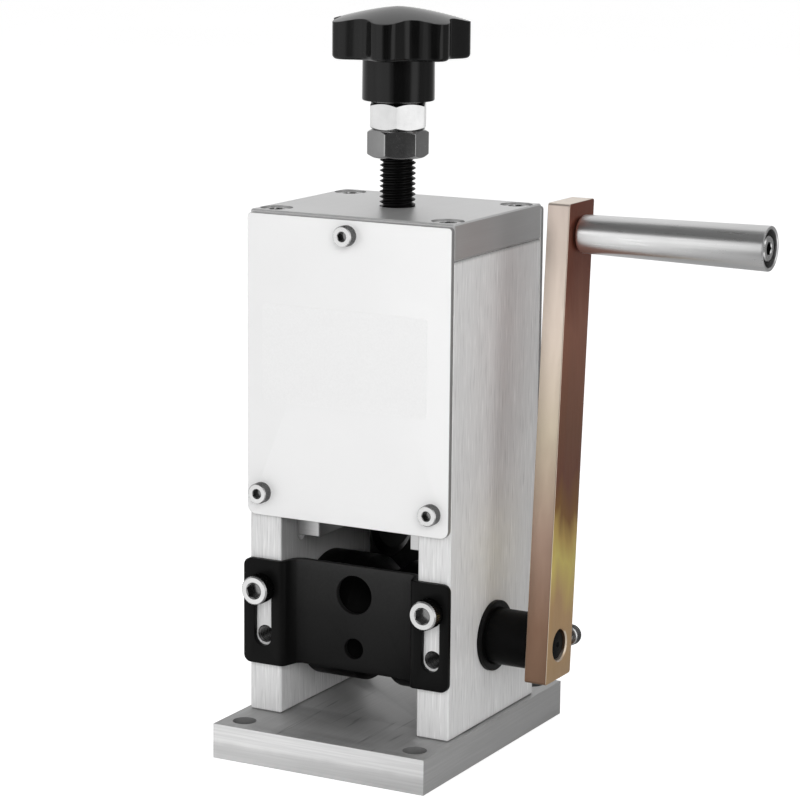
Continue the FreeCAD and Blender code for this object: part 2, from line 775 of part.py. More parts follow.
def blade_collars():
    """A flanged collar on each side clamps the blade against the bearings' inner rings."""
    collars = []
    half = blade_t / 2
    for side in (-1, 1):
        x1 = cheek_x + bearing_inset
        profile = [(half, axle_r), (half, blade_flange_r), (half + blade_flange_t, blade_flange_r),
                   (half + blade_flange_t, blade_collar_r), (x1, blade_collar_r), (x1, axle_r)]
        collars.append(turned_x([(side * x, r) for x, r in profile], 0, axle_z))
    return group(collars)


def retaining_rings():
    """Snap rings in the cheeks that keep the bearings from moving out."""
    rings = []
    near = bearing_x(1)[1]
    for side in (-1, 1):
        x0, x1 = (near, near + snap_ring_t) if side > 0 else (-near - snap_ring_t, -near)
        rings.append(ring_x(bearing_r, bearing_r - snap_ring_w, x0, x1, 0, axle_z))
    return group(rings)


def parts():
    front_guide = guide_plate()
    return {
        "base_plate": base_plate(),
        "base_screws": base_screws(),
        "side_plate_left": side_plate(-1),
        "side_plate_right": side_plate(1),
        "top_plate": top_plate(),
        "top_plate_screws": top_plate_screws(),
        "front_cover": cover(-1),
        "rear_cover": cover(1),
        "front_cover_screws": cover_screws(-1),
        "rear_cover_screws": cover_screws(1),
        "blank_label": blank_label(),
        "front_guide_plate": front_guide,
        "rear_guide_plate": raised(half_turn(front_guide), rear_guide_lift),
        "front_guide_screws": guide_screws(),
        "rear_guide_screws": half_turn(guide_screws()),
        "feed_roller": feed_roller(),
        "roller_key": key_block(key_len),
        "main_shaft": main_shaft(),
        "left_bush": left_bush(),
        "right_bush": right_bush(),
        "crank_arm": crank_arm(),
        "arm_clamp_screw": arm_clamp_screw(),
        "handle_sleeve": handle_sleeve(),
        "handle_inner_washer": handle_inner_washer(),
        "handle_pad": handle_pad(),
        "handle_bolt": handle_bolt(),
        "spindle": spindle(),
        "lock_nut": hex_nut(lock_nut_z, lock_nut_h, lock_nut_turn),
        "knob_nut": hex_nut(knob_nut_z, knob_nut_h, knob_nut_turn),
        "star_knob": star_knob(),
        "blade_carrier": blade_carrier(),
        "carrier_keys": carrier_keys(),
        "spindle_keepers": spindle_keepers(),
        "keeper_screws": keeper_screws(),
        "blade_axle": blade_axle(),
        "cutting_blade": cutting_blade(),
        "blade_collars": blade_collars(),
        "bearing_inner_rings": inner_rings(),
        "bearing_outer_rings": outer_rings(),
        "bearing_balls": bearing_balls(),
        "bearing_snap_rings": retaining_rings(),
    }


def main():
    os.makedirs("parts", exist_ok=True)
    for name, shape in parts().items():
        shape.exportStep("parts/" + name + ".step")
        print(name, len(shape.Solids), "valid" if shape.isValid() else "INVALID", round(shape.Volume, 1))


main()
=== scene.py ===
import math

import bmesh
import bpy
from mathutils import Matrix, Vector


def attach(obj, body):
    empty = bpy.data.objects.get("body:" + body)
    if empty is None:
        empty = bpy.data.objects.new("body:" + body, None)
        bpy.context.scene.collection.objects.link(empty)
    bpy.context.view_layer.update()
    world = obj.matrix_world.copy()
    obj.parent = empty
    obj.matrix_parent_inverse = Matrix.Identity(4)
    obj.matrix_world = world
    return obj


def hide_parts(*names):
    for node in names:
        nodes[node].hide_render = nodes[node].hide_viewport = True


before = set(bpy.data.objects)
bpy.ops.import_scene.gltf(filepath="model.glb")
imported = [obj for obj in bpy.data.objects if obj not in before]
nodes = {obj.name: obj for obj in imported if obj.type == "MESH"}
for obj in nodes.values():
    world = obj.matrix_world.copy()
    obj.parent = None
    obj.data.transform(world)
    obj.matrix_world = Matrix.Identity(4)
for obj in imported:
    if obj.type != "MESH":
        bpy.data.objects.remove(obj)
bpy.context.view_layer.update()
mm = 0.001
near = 1e-6                 # metres between two spots that count as one
print("frame loaded:", len(nodes), "nodes")


# small modelling helpers
def active():
    return bpy.context.view_layer.objects.active


def activate(piece):
    bpy.ops.object.select_all(action="DESELECT")
    piece.select_set(True)
    bpy.context.view_layer.objects.active = piece


def applyPlace():
    bpy.ops.object.transform_apply(location=True, rotation=True, scale=True)


def edit(piece):
    activate(piece)
    bpy.ops.object.mode_set(mode="EDIT")


def leaveEdit():
    bpy.ops.object.mode_set(mode="OBJECT")
    return active()


def newPrimitive(kind, name, **settings):
    # a primitive at its size and place, with the place kept in the mesh
    bpy.ops.object.select_all(action="DESELECT")
    getattr(bpy.ops.mesh, "primitive_" + kind + "_add")(**settings)
    piece = active()
    piece.name = name
    applyPlace()
    return piece


def newBlock(name, low, high):
    # low and high corners in mm
    size = [(b - a) * mm for a, b in zip(low, high)]
    centre = [(a + b) / 2 * mm for a, b in zip(low, high)]
    return newPrimitive("cube", name, size=1, location=centre, scale=size)


# the next ones work in edit mode, with sizes in mm
def pickAll():
    bpy.ops.mesh.select_all(action="SELECT")


def pick(kind, wanted):
    # selects the VERT, EDGE or FACE elements that pass a test
    bpy.ops.mesh.select_mode(type=kind)
    bpy.ops.mesh.select_all(action="DESELECT")
    data = bpy.context.edit_object.data
    mesh = bmesh.from_edit_mesh(data)
    for item in {"VERT": mesh.verts, "EDGE": mesh.edges, "FACE": mesh.faces}[kind]:
        if wanted(item):
            item.select_set(True)
    bmesh.update_edit_mesh(data)


def middle(edge):
    return (edge.verts[0].co + edge.verts[1].co) / 2


def runsAlong(edge, axis):
    run = edge.verts[1].co - edge.verts[0].co
    return abs(run[axis]) > 0.999 * run.length


def bevelEdges(wanted, width, segments):
    pick("EDGE", wanted)
    bpy.ops.mesh.bevel(offset=width * mm, segments=segments)


def extrudeUp(rise):
    bpy.ops.mesh.extrude_region_move(TRANSFORM_OT_translate={"value": (0, 0, rise * mm)})


def resize(x, y, z, height=0):
    # about a point on the upright axis
    bpy.ops.transform.resize(value=(x, y, z), center_override=(0, 0, height * mm))


def tidyMesh():
    # joins doubles and points the faces outwards
    pickAll()
    bpy.ops.mesh.remove_doubles(threshold=2 * near)
    bpy.ops.mesh.normals_make_consistent(inside=False)


def cutOff(spot, outwards):
    # takes away what lies beyond a plane, whose spot is in metres, and closes the cut
    pickAll()
    bpy.ops.mesh.bisect(plane_co=spot, plane_no=outwards, use_fill=True, clear_outer=True,
                        threshold=near / 10)


def cutBetween(low, high):
    for height, outwards in ((low, -1), (high, 1)):
        cutOff((0, 0, height * mm), (0, 0, outwards))
    tidyMesh()


def drawLine(name, spots):
    # leaves the whole line selected
    line = newPrimitive("plane", name, size=mm, location=spots[0] * mm)
    edit(line)
    bpy.ops.mesh.select_mode(type="VERT")
    pickAll()
    bpy.ops.mesh.merge(type="CENTER")
    for here, there in zip(spots, spots[1:]):
        bpy.ops.mesh.extrude_vertices_move(TRANSFORM_OT_translate={"value": (there - here) * mm})
    pickAll()
    return line


# and these in object mode
def turnedPiece(name, profile, steps=96, axleZ=None):
    # closed profile of (along the axis, radius); upright, or level along X at the height axleZ
    level = axleZ is not None
    spots = [Vector((a, 0, axleZ + r) if level else (0, -r, a)) for a, r in profile]
    drawLine(name, spots + spots[:1])
    bpy.ops.mesh.spin(steps=steps, angle=2 * math.pi, center=Vector((0, 0, axleZ or 0)) * mm,
                      axis=(1, 0, 0) if level else (0, 0, 1))
    tidyMesh()
    return leaveEdit()


def applyModifier(piece, kind, **settings):
    activate(piece)
    modifier = piece.modifiers.new(kind.title(), kind)
    for key, value in settings.items():
        setattr(modifier, key, value)
    bpy.ops.object.modifier_apply(modifier=modifier.name)
    return piece


def soften(piece, width, segments=2, angle=40):
    # rounds every edge that is sharper than the angle
    return applyModifier(piece, "BEVEL", width=width * mm, segments=segments, limit_method="ANGLE",
                         angle_limit=math.radians(angle), harden_normals=False)


def combine(piece, tool, how="DIFFERENCE"):
    # cuts or joins with another mesh, which is used up
    applyModifier(piece, "BOOLEAN", object=tool, operation=how, solver="EXACT")
    bpy.data.objects.remove(tool)
    return piece


def cutter(radius, start, axis, length, steps=64):
    # round cutter from a point along an axis
    centre = Vector(start)
    centre["XYZ".index(axis)] += length / 2
    turn = {"X": (0, math.pi / 2, 0), "Y": (math.pi / 2, 0, 0), "Z": (0, 0, 0)}[axis]
    return newPrimitive("cylinder", "cutter", vertices=steps, radius=radius * mm, depth=length * mm,
                        location=centre * mm, rotation=turn)


def drill(piece, *hole):
    return combine(piece, cutter(*hole))


def joined(name, pieces):
    bpy.ops.object.select_all(action="DESELECT")
    for piece in pieces:
        piece.select_set(True)
    bpy.context.view_layer.objects.active = pieces[0]
    if len(pieces) > 1:
        bpy.ops.object.join()
    pieces[0].name = name
    return pieces[0]


def upTo(direction):
    # the rotation that takes +Z there
    return Vector((0, 0, 1)).rotation_difference(Vector(direction)).to_matrix()


def copyAt(piece, turn, spot):
    # a copy with its own mesh; turn is a rotation matrix, spot in mm
    activate(piece)
    bpy.ops.object.duplicate()
    copy = active()
    copy.matrix_world = Matrix.Translation(Vector(spot) * mm) @ turn.to_4x4()
    applyPlace()
    return copy


def place(piece, body, slotName, material, *hidden):
    # finish of every new piece: smooth shading, material, body, and hiding the CAD nodes it stands for
    activate(piece)
    bpy.ops.object.shade_smooth_by_angle(angle=math.radians(30))
    piece.data.materials.clear()
    piece.data.materials.append(material)
    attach(piece, body)
    if hidden:
        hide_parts(*hidden)
    return piece


# camera
camera = {"lens": 131.6, "place": (460.31, -855.17, 308.69), "azimuth": 28.205, "elevation": 11.114,
          "roll": 0.543}


def addCamera():
    azimuth, elevation, roll = (math.radians(camera[k]) for k in ("azimuth", "elevation", "roll"))
    back = Vector((math.sin(azimuth) * math.cos(elevation), -math.cos(azimuth) * math.cos(elevation),
                   math.sin(elevation)))
    level = Vector((math.cos(azimuth), math.sin(azimuth), 0))
    upright = back.cross(level)
    right = math.cos(roll) * level + math.sin(roll) * upright
    up = math.cos(roll) * upright - math.sin(roll) * level
    bpy.ops.object.camera_add()
    seen = active()
    seen.name = "camera"
    turn = Matrix((right, up, back)).transposed().to_4x4()
    seen.matrix_world = Matrix.Translation(Vector(camera["place"]) * mm) @ turn
    seen.data.lens = camera["lens"]
    seen.data.sensor_width = 36
    seen.data.clip_start, seen.data.clip_end = 0.05, 60
    bpy.context.scene.camera = seen


addCamera()
bpy.context.scene.view_settings.view_transform = "Standard"
print("camera placed")


# node helpers
noiseLow, noiseHigh = 0.3, 0.7      # most of a noise pattern lies between these


def feed(node, **inputs):
    # inputs are values or sockets; _ stands for a space, and n with digits for a socket's number
    for key, value in inputs.items():
        socket = node.inputs[int(key[1:]) if key[1:].isdigit() else key.replace("_", " ")]
        if isinstance(value, bpy.types.NodeSocket):
            node.id_data.links.new(value, socket)
        else:
            socket.default_value = value
    return node


def addNode(tree, kind, settings=None, **inputs):
    node = tree.nodes.new("ShaderNode" + kind)
    for key, value in (settings or {}).items():
        setattr(node, key, value)
    return feed(node, **inputs)


def newMaterial(name, **shaderValues):
    material = bpy.data.materials.new(name)
    material.use_nodes = True
    feed(material.node_tree.nodes["Principled BSDF"], **shaderValues)
    return material, material.node_tree


def objectCoords(tree, scale=(1, 1, 1)):
    coords = addNode(tree, "TexCoord").outputs["Object"]
    return addNode(tree, "Mapping", Vector=coords, Scale=scale).outputs["Vector"]


def stretched(tree, axis, factor):
    # coordinates that draw a pattern out along one axis
    return objectCoords(tree, [factor if letter == axis else 1 for letter in "XYZ"])


def spotAxes(tree):
    return addNode(tree, "SeparateXYZ", Vector=objectCoords(tree)).outputs


def faceAxes(tree):
    return addNode(tree, "SeparateXYZ", Vector=addNode(tree, "TexCoord").outputs["Normal"]).outputs


def noise(tree, scale, detail, vector=None, distortion=0.0):
    node = addNode(tree, "TexNoise", Vector=vector or objectCoords(tree), Scale=scale, Detail=detail,
                   Roughness=0.6, Distortion=distortion)
    return node.outputs["Fac"]


def ramp(tree, factor, stops, mode="LINEAR"):
    # stops: (place, grey or colour)
    node = addNode(tree, "ValToRGB", Fac=factor)
    node.color_ramp.interpolation = mode
    points = node.color_ramp.elements
    while len(points) < len(stops):
        points.new(0.5)
    for point, (spot, colour) in zip(points, stops):
        point.position = spot
        point.color = (*colour, 1) if isinstance(colour, tuple) else (colour, colour, colour, 1)
    return node.outputs["Color"]


def clouded(tree, pattern, low, high):
    return ramp(tree, pattern, [(noiseLow, low), (noiseHigh, high)])


def share(tree, value, low, high, smooth=False):
    # 0 at low and 1 at high
    how = "SMOOTHSTEP" if smooth else "LINEAR"
    node = addNode(tree, "MapRange", {"interpolation_type": how}, Value=value, n1=low, n2=high, n3=0.0,
                   n4=1.0)
    return node.outputs["Result"]


def mixColour(tree, factor, first, second, mode="MIX"):
    node = addNode(tree, "Mix", {"data_type": "RGBA", "blend_type": mode}, n0=factor, n6=first, n7=second)
    return node.outputs[2]


def times(tree, first, second):
    return mixColour(tree, 1.0, first, second, "MULTIPLY")


def maths(tree, how, first, second=0.0):
    return addNode(tree, "Math", {"operation": how}, n0=first, n1=second).outputs[0]


def grey(value):
    return (value, value, value, 1)


def tangentRound(tree, axis):
    return addNode(tree, "Tangent", {"direction_type": "RADIAL", "axis": axis}).outputs["Tangent"]


def surface(material, colour, pattern, roughness, strength, distance=0.00005, relief=None, **others):
    # colour, and roughness and fine relief from one pattern, or the relief from another
    tree, (low, high) = material.node_tree, roughness
    rough = addNode(tree, "MapRange", Value=pattern, n1=noiseLow, n2=noiseHigh, n3=low, n4=high)
    raised = addNode(tree, "Bump", Height=relief or pattern, Strength=strength, Distance=distance)
    feed(tree.nodes["Principled BSDF"], Base_Color=colour, Roughness=rough.outputs["Result"],
         Normal=raised.outputs["Normal"], **others)
    return material


# finishes
brushed = {
    "lineScale": 2200.0,    # brushing lines across
    "lineStretch": 0.018,   # the same lines along their run
    "broadShare": 0.4,      # how much the broad lines count beside the fine ones
    "patchScale": 14.0,
    "scratchScale": 1900.0,
    "scratchStretch": 0.05,
}
sidePlate = {
    "low": 12,              # painted shade lines run along both ends, where the plate meets the base and the top plate
    "high": 172,
    # these tones paint shade along the joints at both ends
    "seams": [(0.0, 0.30), (0.0030, 0.30), (0.0040, 1.0), (0.9958, 1.0), (0.9966, 0.32), (1.0, 0.32)],
    "inner": 26.2,          # the inner faces lie below this distance from the middle
    "oilLow": 52,           # painted shade darkens them between these heights
    "oilHigh": 72,
    # tone of the painted shade on the upper part of the inner faces
    "oilTone": 0.45,
}
# tone of the painted shade on the narrow faces all round
topPlate = {"rimTone": 0.72}


def streakField(tree, lines):
    # fine and broad lines that run along one axis
    vector = stretched(tree, lines, brushed["lineStretch"])
    fine = noise(tree, brushed["lineScale"], 3, vector)
    broad = noise(tree, brushed["lineScale"] / 12, 3, vector)
    return mixColour(tree, brushed["broadShare"], fine, broad)


def plateAluminium(name, tone, lines, roughness, strength, contrast, spread=0.0, metal=1.0, scratch=0.0,
                   extra=None):
    # lines: the axis that the brushing runs along; spread: how far it smears reflections sideways;
    # extra: function that gives one more tone to multiply by
    material, tree = newMaterial(name, Metallic=metal, Anisotropic=spread)
    streaks = relief = streakField(tree, lines)
    colour = ramp(tree, streaks, [(0.32, tone * (1 - contrast)), (0.52, tone), (0.68, tone * (1 + contrast))])
    colour = times(tree, colour, clouded(tree, noise(tree, brushed["patchScale"], 3), 0.94, 1.0))
    if scratch:
        glints = noise(tree, brushed["scratchScale"], 1, stretched(tree, lines, brushed["scratchStretch"]))
        marks = [(0.30, 1 - scratch), (0.40, 1.0), (0.60, 1.0), (0.70, 1 + scratch)]
        colour = times(tree, colour, ramp(tree, glints, marks))
        relief = mixColour(tree, 0.5, streaks, glints)
    if extra:
        colour = times(tree, colour, extra(tree))
    others = {"Tangent": tangentRound(tree, "Z")} if spread else {}
    return surface(material, colour, streaks, roughness, strength, 0.00012, relief, **others)


def sidePlateShade(tree):
    # painted shade: dark lines at both ends where the plate meets the base and the top plate, and a darker
    # upper part of the inner faces
    p = sidePlate
    spot = spotAxes(tree)
    seams = ramp(tree, share(tree, spot["Z"], p["low"] * mm, p["high"] * mm), p["seams"])
    # painted shade on the upper part of the inner faces
    inside = maths(tree, "LESS_THAN", maths(tree, "ABSOLUTE", spot["X"]), p["inner"] * mm)
    risen = share(tree, spot["Z"], p["oilLow"] * mm, p["oilHigh"] * mm, smooth=True)
    innerShade = mixColour(tree, maths(tree, "MULTIPLY", inside, risen), grey(1.0), grey(p["oilTone"]))
    return times(tree, seams, innerShade)


def topPlateShade(tree):
    # painted shade: the narrow faces all round are darker
    flat = ramp(tree, maths(tree, "ABSOLUTE", faceAxes(tree)["Z"]), [(0.3, 0.0), (0.8, 1.0)])
    return mixColour(tree, flat, grey(topPlate["rimTone"]), grey(1.0))


basePlate = {
    "halfWidth": 40.0, "front": -53.0, "back": 51.0, "height": 12.0, "edge": 0.22,
    "holeX": 32.5, "holeFront": -45.0, "holeBack": 43.0, "holeRadius": 4.0,
    "screwX": 32.0, "screwY": 22.0, "screwHole": 3.25, "headHole": 5.5, "headDepth": 6.5,
    "sawLine": 5.6,         # height of the wavy line between the two saw cuts on the front and back edges
    "sawWave": 1.0, "sawBlur": 1.2, "metal": 0.32,
    # the side tone is a painted shade on the side edges
    "topTone": 0.38, "upperTone": 0.82, "lowerTone": 0.62, "sideTone": 0.41,
    "wallTone": 0.19,       # painted shade inside the drilled holes
}


def sawnPlateFinish():
    # drawn streaks on the flat faces, two saw cuts on the front and back edges, and painted shade on the side
    # edges and on the walls of the drilled holes
    b = basePlate
    material, tree = newMaterial("base_plate_sawn", Metallic=b["metal"])
    spot, face = spotAxes(tree), faceAxes(tree)
    drawn = streakField(tree, "Y")
    tone = b["topTone"]
    flat = ramp(tree, drawn, [(0.33, tone * 0.86), (0.52, tone), (0.68, tone * 1.16)])
    scored = noise(tree, 420.0, 1, stretched(tree, "Y", 0.05), distortion=0.4)
    flat = times(tree, flat, ramp(tree, scored, [(0.66, 1.0), (0.72, 0.55), (0.78, 1.0)]))

    wander = maths(tree, "SUBTRACT", noise(tree, 90.0, 2, stretched(tree, "Z", 0.1)), 0.5)
    wavy = maths(tree, "ADD", spot["Z"], maths(tree, "MULTIPLY", wander, 2 * b["sawWave"] * mm))
    above = share(tree, wavy, (b["sawLine"] - b["sawBlur"]) * mm, (b["sawLine"] + b["sawBlur"]) * mm, True)
    cuts = mixColour(tree, above, grey(b["lowerTone"]), grey(b["upperTone"]))
    # the side edges take the painted shade tone, the front and back edges the saw cuts
    ends = ramp(tree, maths(tree, "ABSOLUTE", face["Y"]), [(0.6, 0.0), (0.9, 1.0)])
    bands = noise(tree, 1500.0, 3, objectCoords(tree, (0.02, 0.02, 1)))
    sawn = times(tree, mixColour(tree, ends, grey(b["sideTone"]), cuts),
                 ramp(tree, bands, [(0.35, 0.86), (0.65, 1.0)]))

    # painted shade on the upright faces inside the outline: the walls of the drilled holes
    centre, reach = (b["front"] + b["back"]) / 2, (b["back"] - b["front"]) / 2
    across = maths(tree, "DIVIDE", maths(tree, "ABSOLUTE", spot["X"]), b["halfWidth"] * mm)
    along = maths(tree, "ABSOLUTE", maths(tree, "SUBTRACT", spot["Y"], centre * mm))
    within = maths(tree, "MAXIMUM", across, maths(tree, "DIVIDE", along, reach * mm))
    sawn = mixColour(tree, ramp(tree, within, [(0.985, 0.0), (0.992, 1.0)]), grey(b["wallTone"]), sawn)

    upright = ramp(tree, maths(tree, "ABSOLUTE", face["Z"]), [(0.5, 0.0), (0.8, 1.0)])
    return surface(material, mixColour(tree, upright, sawn, flat), mixColour(tree, upright, bands, drawn),
                   (0.36, 0.5), 0.2, 0.0001)


def steelFinish(name, tone, roughness, scale=600.0, strength=0.08, paintedShadeTone=None):
    # the socket tone is a painted shade for the key sockets and knurled sides, which the screws mark with an
    # attribute
    material, tree = newMaterial(name, Metallic=1.0)
    colour = ramp(tree, noise(tree, 90.0, 3), [(0.3, tone * 0.86), (0.65, tone)])
    if paintedShadeTone:
        inside = addNode(tree, "Attribute", {"attribute_name": "socket"}).outputs["Fac"]
        colour = mixColour(tree, inside, colour, grey(paintedShadeTone))
    return surface(material, colour, noise(tree, scale, 5), roughness, strength)


def blackFinish(name, tone, roughness, gloss=0.12, scale=900.0, strength=0.1):
    # black paint, oxide or moulded plastic; gloss is the share of light that the surface mirrors
    material, tree = newMaterial(name, Specular_IOR_Level=gloss)
    colour = clouded(tree, noise(tree, 60.0, 3), tone * 0.7, tone * 1.3)
    return surface(material, colour, noise(tree, scale, 4), roughness, strength)


paintedSheet = {
    "low": 29,
    "high": 66,
    "tones": [(0.0, 0.007), (0.5, 0.014), (0.9, 0.026), (1.0, 0.034)],     # painted light, from the low edge to the high one
    "recess": 27,           # distances of the recessed middle and of the ears from the machine's middle
    "ear": 31,
    "earTone": 0.005,
}


def paintedSheetFinish():
    # black paint on a bent sheet, with painted light that makes it greyer towards the upper edge of the
    # recessed middle
    p = paintedSheet
    material, tree = newMaterial("black_painted_sheet", Specular_IOR_Level=0.08)
    spot = spotAxes(tree)
    upperSheen = ramp(tree, share(tree, spot["Z"], p["low"] * mm, p["high"] * mm), p["tones"])
    ear = share(tree, maths(tree, "ABSOLUTE", spot["Y"]), p["recess"] * mm, p["ear"] * mm)
    colour = mixColour(tree, ear, upperSheen, grey(p["earTone"]))
    grain = noise(tree, 900.0, 4)
    return surface(material, times(tree, colour, clouded(tree, grain, 0.85, 1.0)), grain, (0.34, 0.46), 0.08)


def whiteSheetFinish():
    # gloss white faces; the cut edges all round are dark grey, a painted shade line along the joints with the
    # plates
    material, tree = newMaterial("gloss_white_sheet", Coat_Weight=0.35, Coat_Roughness=0.08)
    face = ramp(tree, maths(tree, "ABSOLUTE", faceAxes(tree)["Y"]), [(0.3, 0.0), (0.8, 1.0)])
    sheet = clouded(tree, noise(tree, 18.0, 2), 0.86, 0.90)
    return surface(material, mixColour(tree, face, grey(0.20), sheet), noise(tree, 260.0, 2), (0.28, 0.36),
                   0.05, 0.0001)


def labelFinish():
    material, tree = newMaterial("pale_film")
    fibre = noise(tree, 1500.0, 3)
    return surface(material, clouded(tree, fibre, 0.86, 0.90), fibre, (0.5, 0.62), 0.04)


chromate = {
    # tints up the bar, by height in mm: front and rear faces, then the two broad sides; partly the chromate's
    # own colour bands, partly painted light and shade, with the front and rear faces going from dark at the
    # foot to light at the top
    "edges": [(30, (0.27, 0.163, 0.107)), (48, (0.285, 0.17, 0.114)), (80, (0.41, 0.285, 0.22)),
              (113, (0.61, 0.52, 0.40)), (147, (0.82, 0.70, 0.60)), (189, (0.67, 0.57, 0.505))],
    "sides": [(34, (0.64, 0.43, 0.236)), (54, (0.74, 0.48, 0.245)), (68, (1.0, 0.82, 0.26)),
              (76, (0.80, 0.56, 0.18)), (84, (0.395, 0.20, 0.068)), (96, (0.295, 0.125, 0.081)),
              (112, (0.32, 0.15, 0.093)), (147, (0.455, 0.203, 0.135)), (170, (0.28, 0.098, 0.063))],
    "low": 25,
    "high": 195,
    "wander": 16.0,         # how far the colour bands wander, in mm
    # a painted highlight along the rounded corners
    "wornTint": (0.98, 0.86, 0.72, 1.0),
    # painted light on the faces that look up
    "topTint": (0.98, 0.88, 0.78, 1.0),
    "metal": 0.85,
}


def heightRamp(tree, height, stops):
    low, high = chromate["low"], chromate["high"]
    climb = share(tree, height, low * mm, high * mm)
    return ramp(tree, climb, [((z - low) / (high - low), tint) for z, tint in stops])


def chromateFinish():
    # yellow chromate over zinc: its colour changes along the bar and from face to face, partly its own colour
    # bands and partly painted light and shade, with a painted highlight on the corners and painted light on
    # the top faces
    c = chromate
    material, tree = newMaterial("yellow_chromate", Metallic=c["metal"])
    height, face = spotAxes(tree)["Z"], faceAxes(tree)
    flow = noise(tree, 34.0, 3, objectCoords(tree, (1, 1.6, 0.5)), distortion=0.8)
    drift = maths(tree, "MULTIPLY", maths(tree, "SUBTRACT", flow, 0.5), 2 * c["wander"] * mm)
    edges = heightRamp(tree, height, c["edges"])
    sides = heightRamp(tree, maths(tree, "ADD", height, drift), c["sides"])
    broad = maths(tree, "ABSOLUTE", face["X"])
    colour = mixColour(tree, ramp(tree, broad, [(0.35, 0.0), (0.75, 1.0)]), edges, sides)
    # painted highlight along the corners
    corner = maths(tree, "MINIMUM", broad, maths(tree, "ABSOLUTE", face["Y"]))
    colour = mixColour(tree, ramp(tree, corner, [(0.42, 0.0), (0.58, 0.85)]), colour, c["wornTint"])
    # painted light on the faces that look up
    colour = mixColour(tree, ramp(tree, face["Z"], [(0.5, 0.0), (0.8, 1.0)]), colour, c["topTint"])
    grain = noise(tree, 900.0, 3, stretched(tree, "Z", 0.1))
    return surface(material, colour, grain, (0.34, 0.44), 0.06, 0.00008)


def turnedSteelFinish():
    # satin steel that smears reflections along the bar, with fine lines that run the same way
    material, tree = newMaterial("satin_turned_steel", Metallic=1.0, Anisotropic=0.8,
                                 Anisotropic_Rotation=0.25)
    rings = noise(tree, 1800.0, 4, stretched(tree, "X", 0.03))
    return surface(material, clouded(tree, noise(tree, 60.0, 2), 0.83, 0.88), rings, (0.26, 0.36), 0.06,
                   Tangent=tangentRound(tree, "X"))


sidePlateFinish = plateAluminium("side_plate_brushed", 0.80, "Z", (0.40, 0.54), strength=0.40, contrast=0.05,
                                 spread=0.75, metal=0.12, scratch=0.16, extra=sidePlateShade)
baseFinish = sawnPlateFinish()
topPlateFinish = plateAluminium("top_plate_drawn", 0.77, "Y", (0.30, 0.42), strength=0.08, contrast=0.05,
                                metal=0.6, extra=topPlateShade)
blockFinish = plateAluminium("milled_block", 0.66, "X", (0.35, 0.5), strength=0.2, contrast=0.08)
tappedFinish = steelFinish("tapped_thread", 0.16, (0.2, 0.34))
# the last tone is the painted shade of the key sockets and knurled sides
zincFinish = steelFinish("bright_zinc", 0.72, (0.16, 0.30), scale=900.0, strength=0.15, paintedShadeTone=0.11)
toolSteelFinish = steelFinish("ground_steel", 0.40, (0.25, 0.4))
# the blade's near-black tone is painted shade from inside the machine
bladeFinish = steelFinish("blued_blade_steel", 0.07, (0.30, 0.42), scale=1200.0)
bearingFinish = steelFinish("bearing_steel", 0.68, (0.08, 0.16))
greyNutFinish = steelFinish("grey_nut_steel", 0.44, (0.16, 0.28), strength=0.15)
brightNutFinish = steelFinish("bright_nut_plating", 0.70, (0.10, 0.2), strength=0.1)
satinFinish = turnedSteelFinish()
whiteFinish = whiteSheetFinish()
armFinish = chromateFinish()
sheetBlackFinish = paintedSheetFinish()
oxideFinish = blackFinish("black_oxide", 0.003, (0.35, 0.5), gloss=0.06, scale=500.0, strength=0.2)
threadFinish = blackFinish("black_thread", 0.003, (0.28, 0.42), scale=700.0, strength=0.25)
bushFinish = blackFinish("black_bush_plastic", 0.003, (0.35, 0.5), scale=800.0)
knobFinish = blackFinish("moulded_black", 0.003, (0.08, 0.14), gloss=0.29, scale=300.0, strength=0.02)

# finishes of the CAD nodes that stay; the rest of them are zinc
nodeFinishes = {
    "side_plate_left": sidePlateFinish, "side_plate_right": sidePlateFinish, "top_plate": topPlateFinish,
    "blade_carrier": blockFinish, "blank_label": labelFinish(), "left_bush": bushFinish,
    "handle_pad": blackFinish("black_rubber", 0.008, (0.5, 0.65), gloss=0.2),
    "cutting_blade": bladeFinish, "blade_collars": oxideFinish,
}
for name in ("roller_key", "carrier_keys", "spindle_keepers", "blade_axle", "bearing_snap_rings"):
    nodeFinishes[name] = toolSteelFinish
for name in ("bearing_inner_rings", "bearing_outer_rings", "bearing_balls"):
    nodeFinishes[name] = bearingFinish
for name, node in nodes.items():
    node.data.materials.clear()
    node.data.materials.append(nodeFinishes.get(name, zincFinish))
print("finishes made")


# screw threads
thread = {
    "depth": 0.6134,        # shares of the pitch: depth, half width of the crest and of the root
    "crest": 1 / 16,
    "root": 1 / 8,
}


def threadedRod(name, radius, pitch, low, high, steps=40):
    # one pitch of the outline, screwed upwards and cut flat at both ends; upright on the origin
    depth, crest, root = (thread[k] * pitch for k in ("depth", "crest", "root"))
    outline = [(radius, -crest), (radius, crest), (radius - depth, pitch / 2 - root),
               (radius - depth, pitch / 2 + root), (radius, pitch - crest)]
    start = low - 2 * pitch
    rod = drawLine(name, [Vector((r, 0, start + z)) for r, z in outline])
    leaveEdit()
    applyModifier(rod, "SCREW", axis="Z", angle=2 * math.pi, screw_offset=pitch * mm,
                  iterations=int((high - low) / pitch) + 4, steps=steps, render_steps=steps,
                  use_merge_vertices=True, merge_threshold=2 * near)
    edit(rod)
    tidyMesh()
    cutBetween(low, high)
    return leaveEdit()


# socket head cap screws
capScrew = {
    "ridges": 40,           # knurling round the head
    "ridgeDepth": 0.04,     # share of the head's radius
    "rim": 0.09,            # chamfer of the rim, share of the screw's size
    "mouth": 0.03,          # chamfer round the key socket
    "sideShade": 1.0,       # how much of the painted shade the knurled side takes
    "socketShade": 0.78,    # the same for the key socket
}


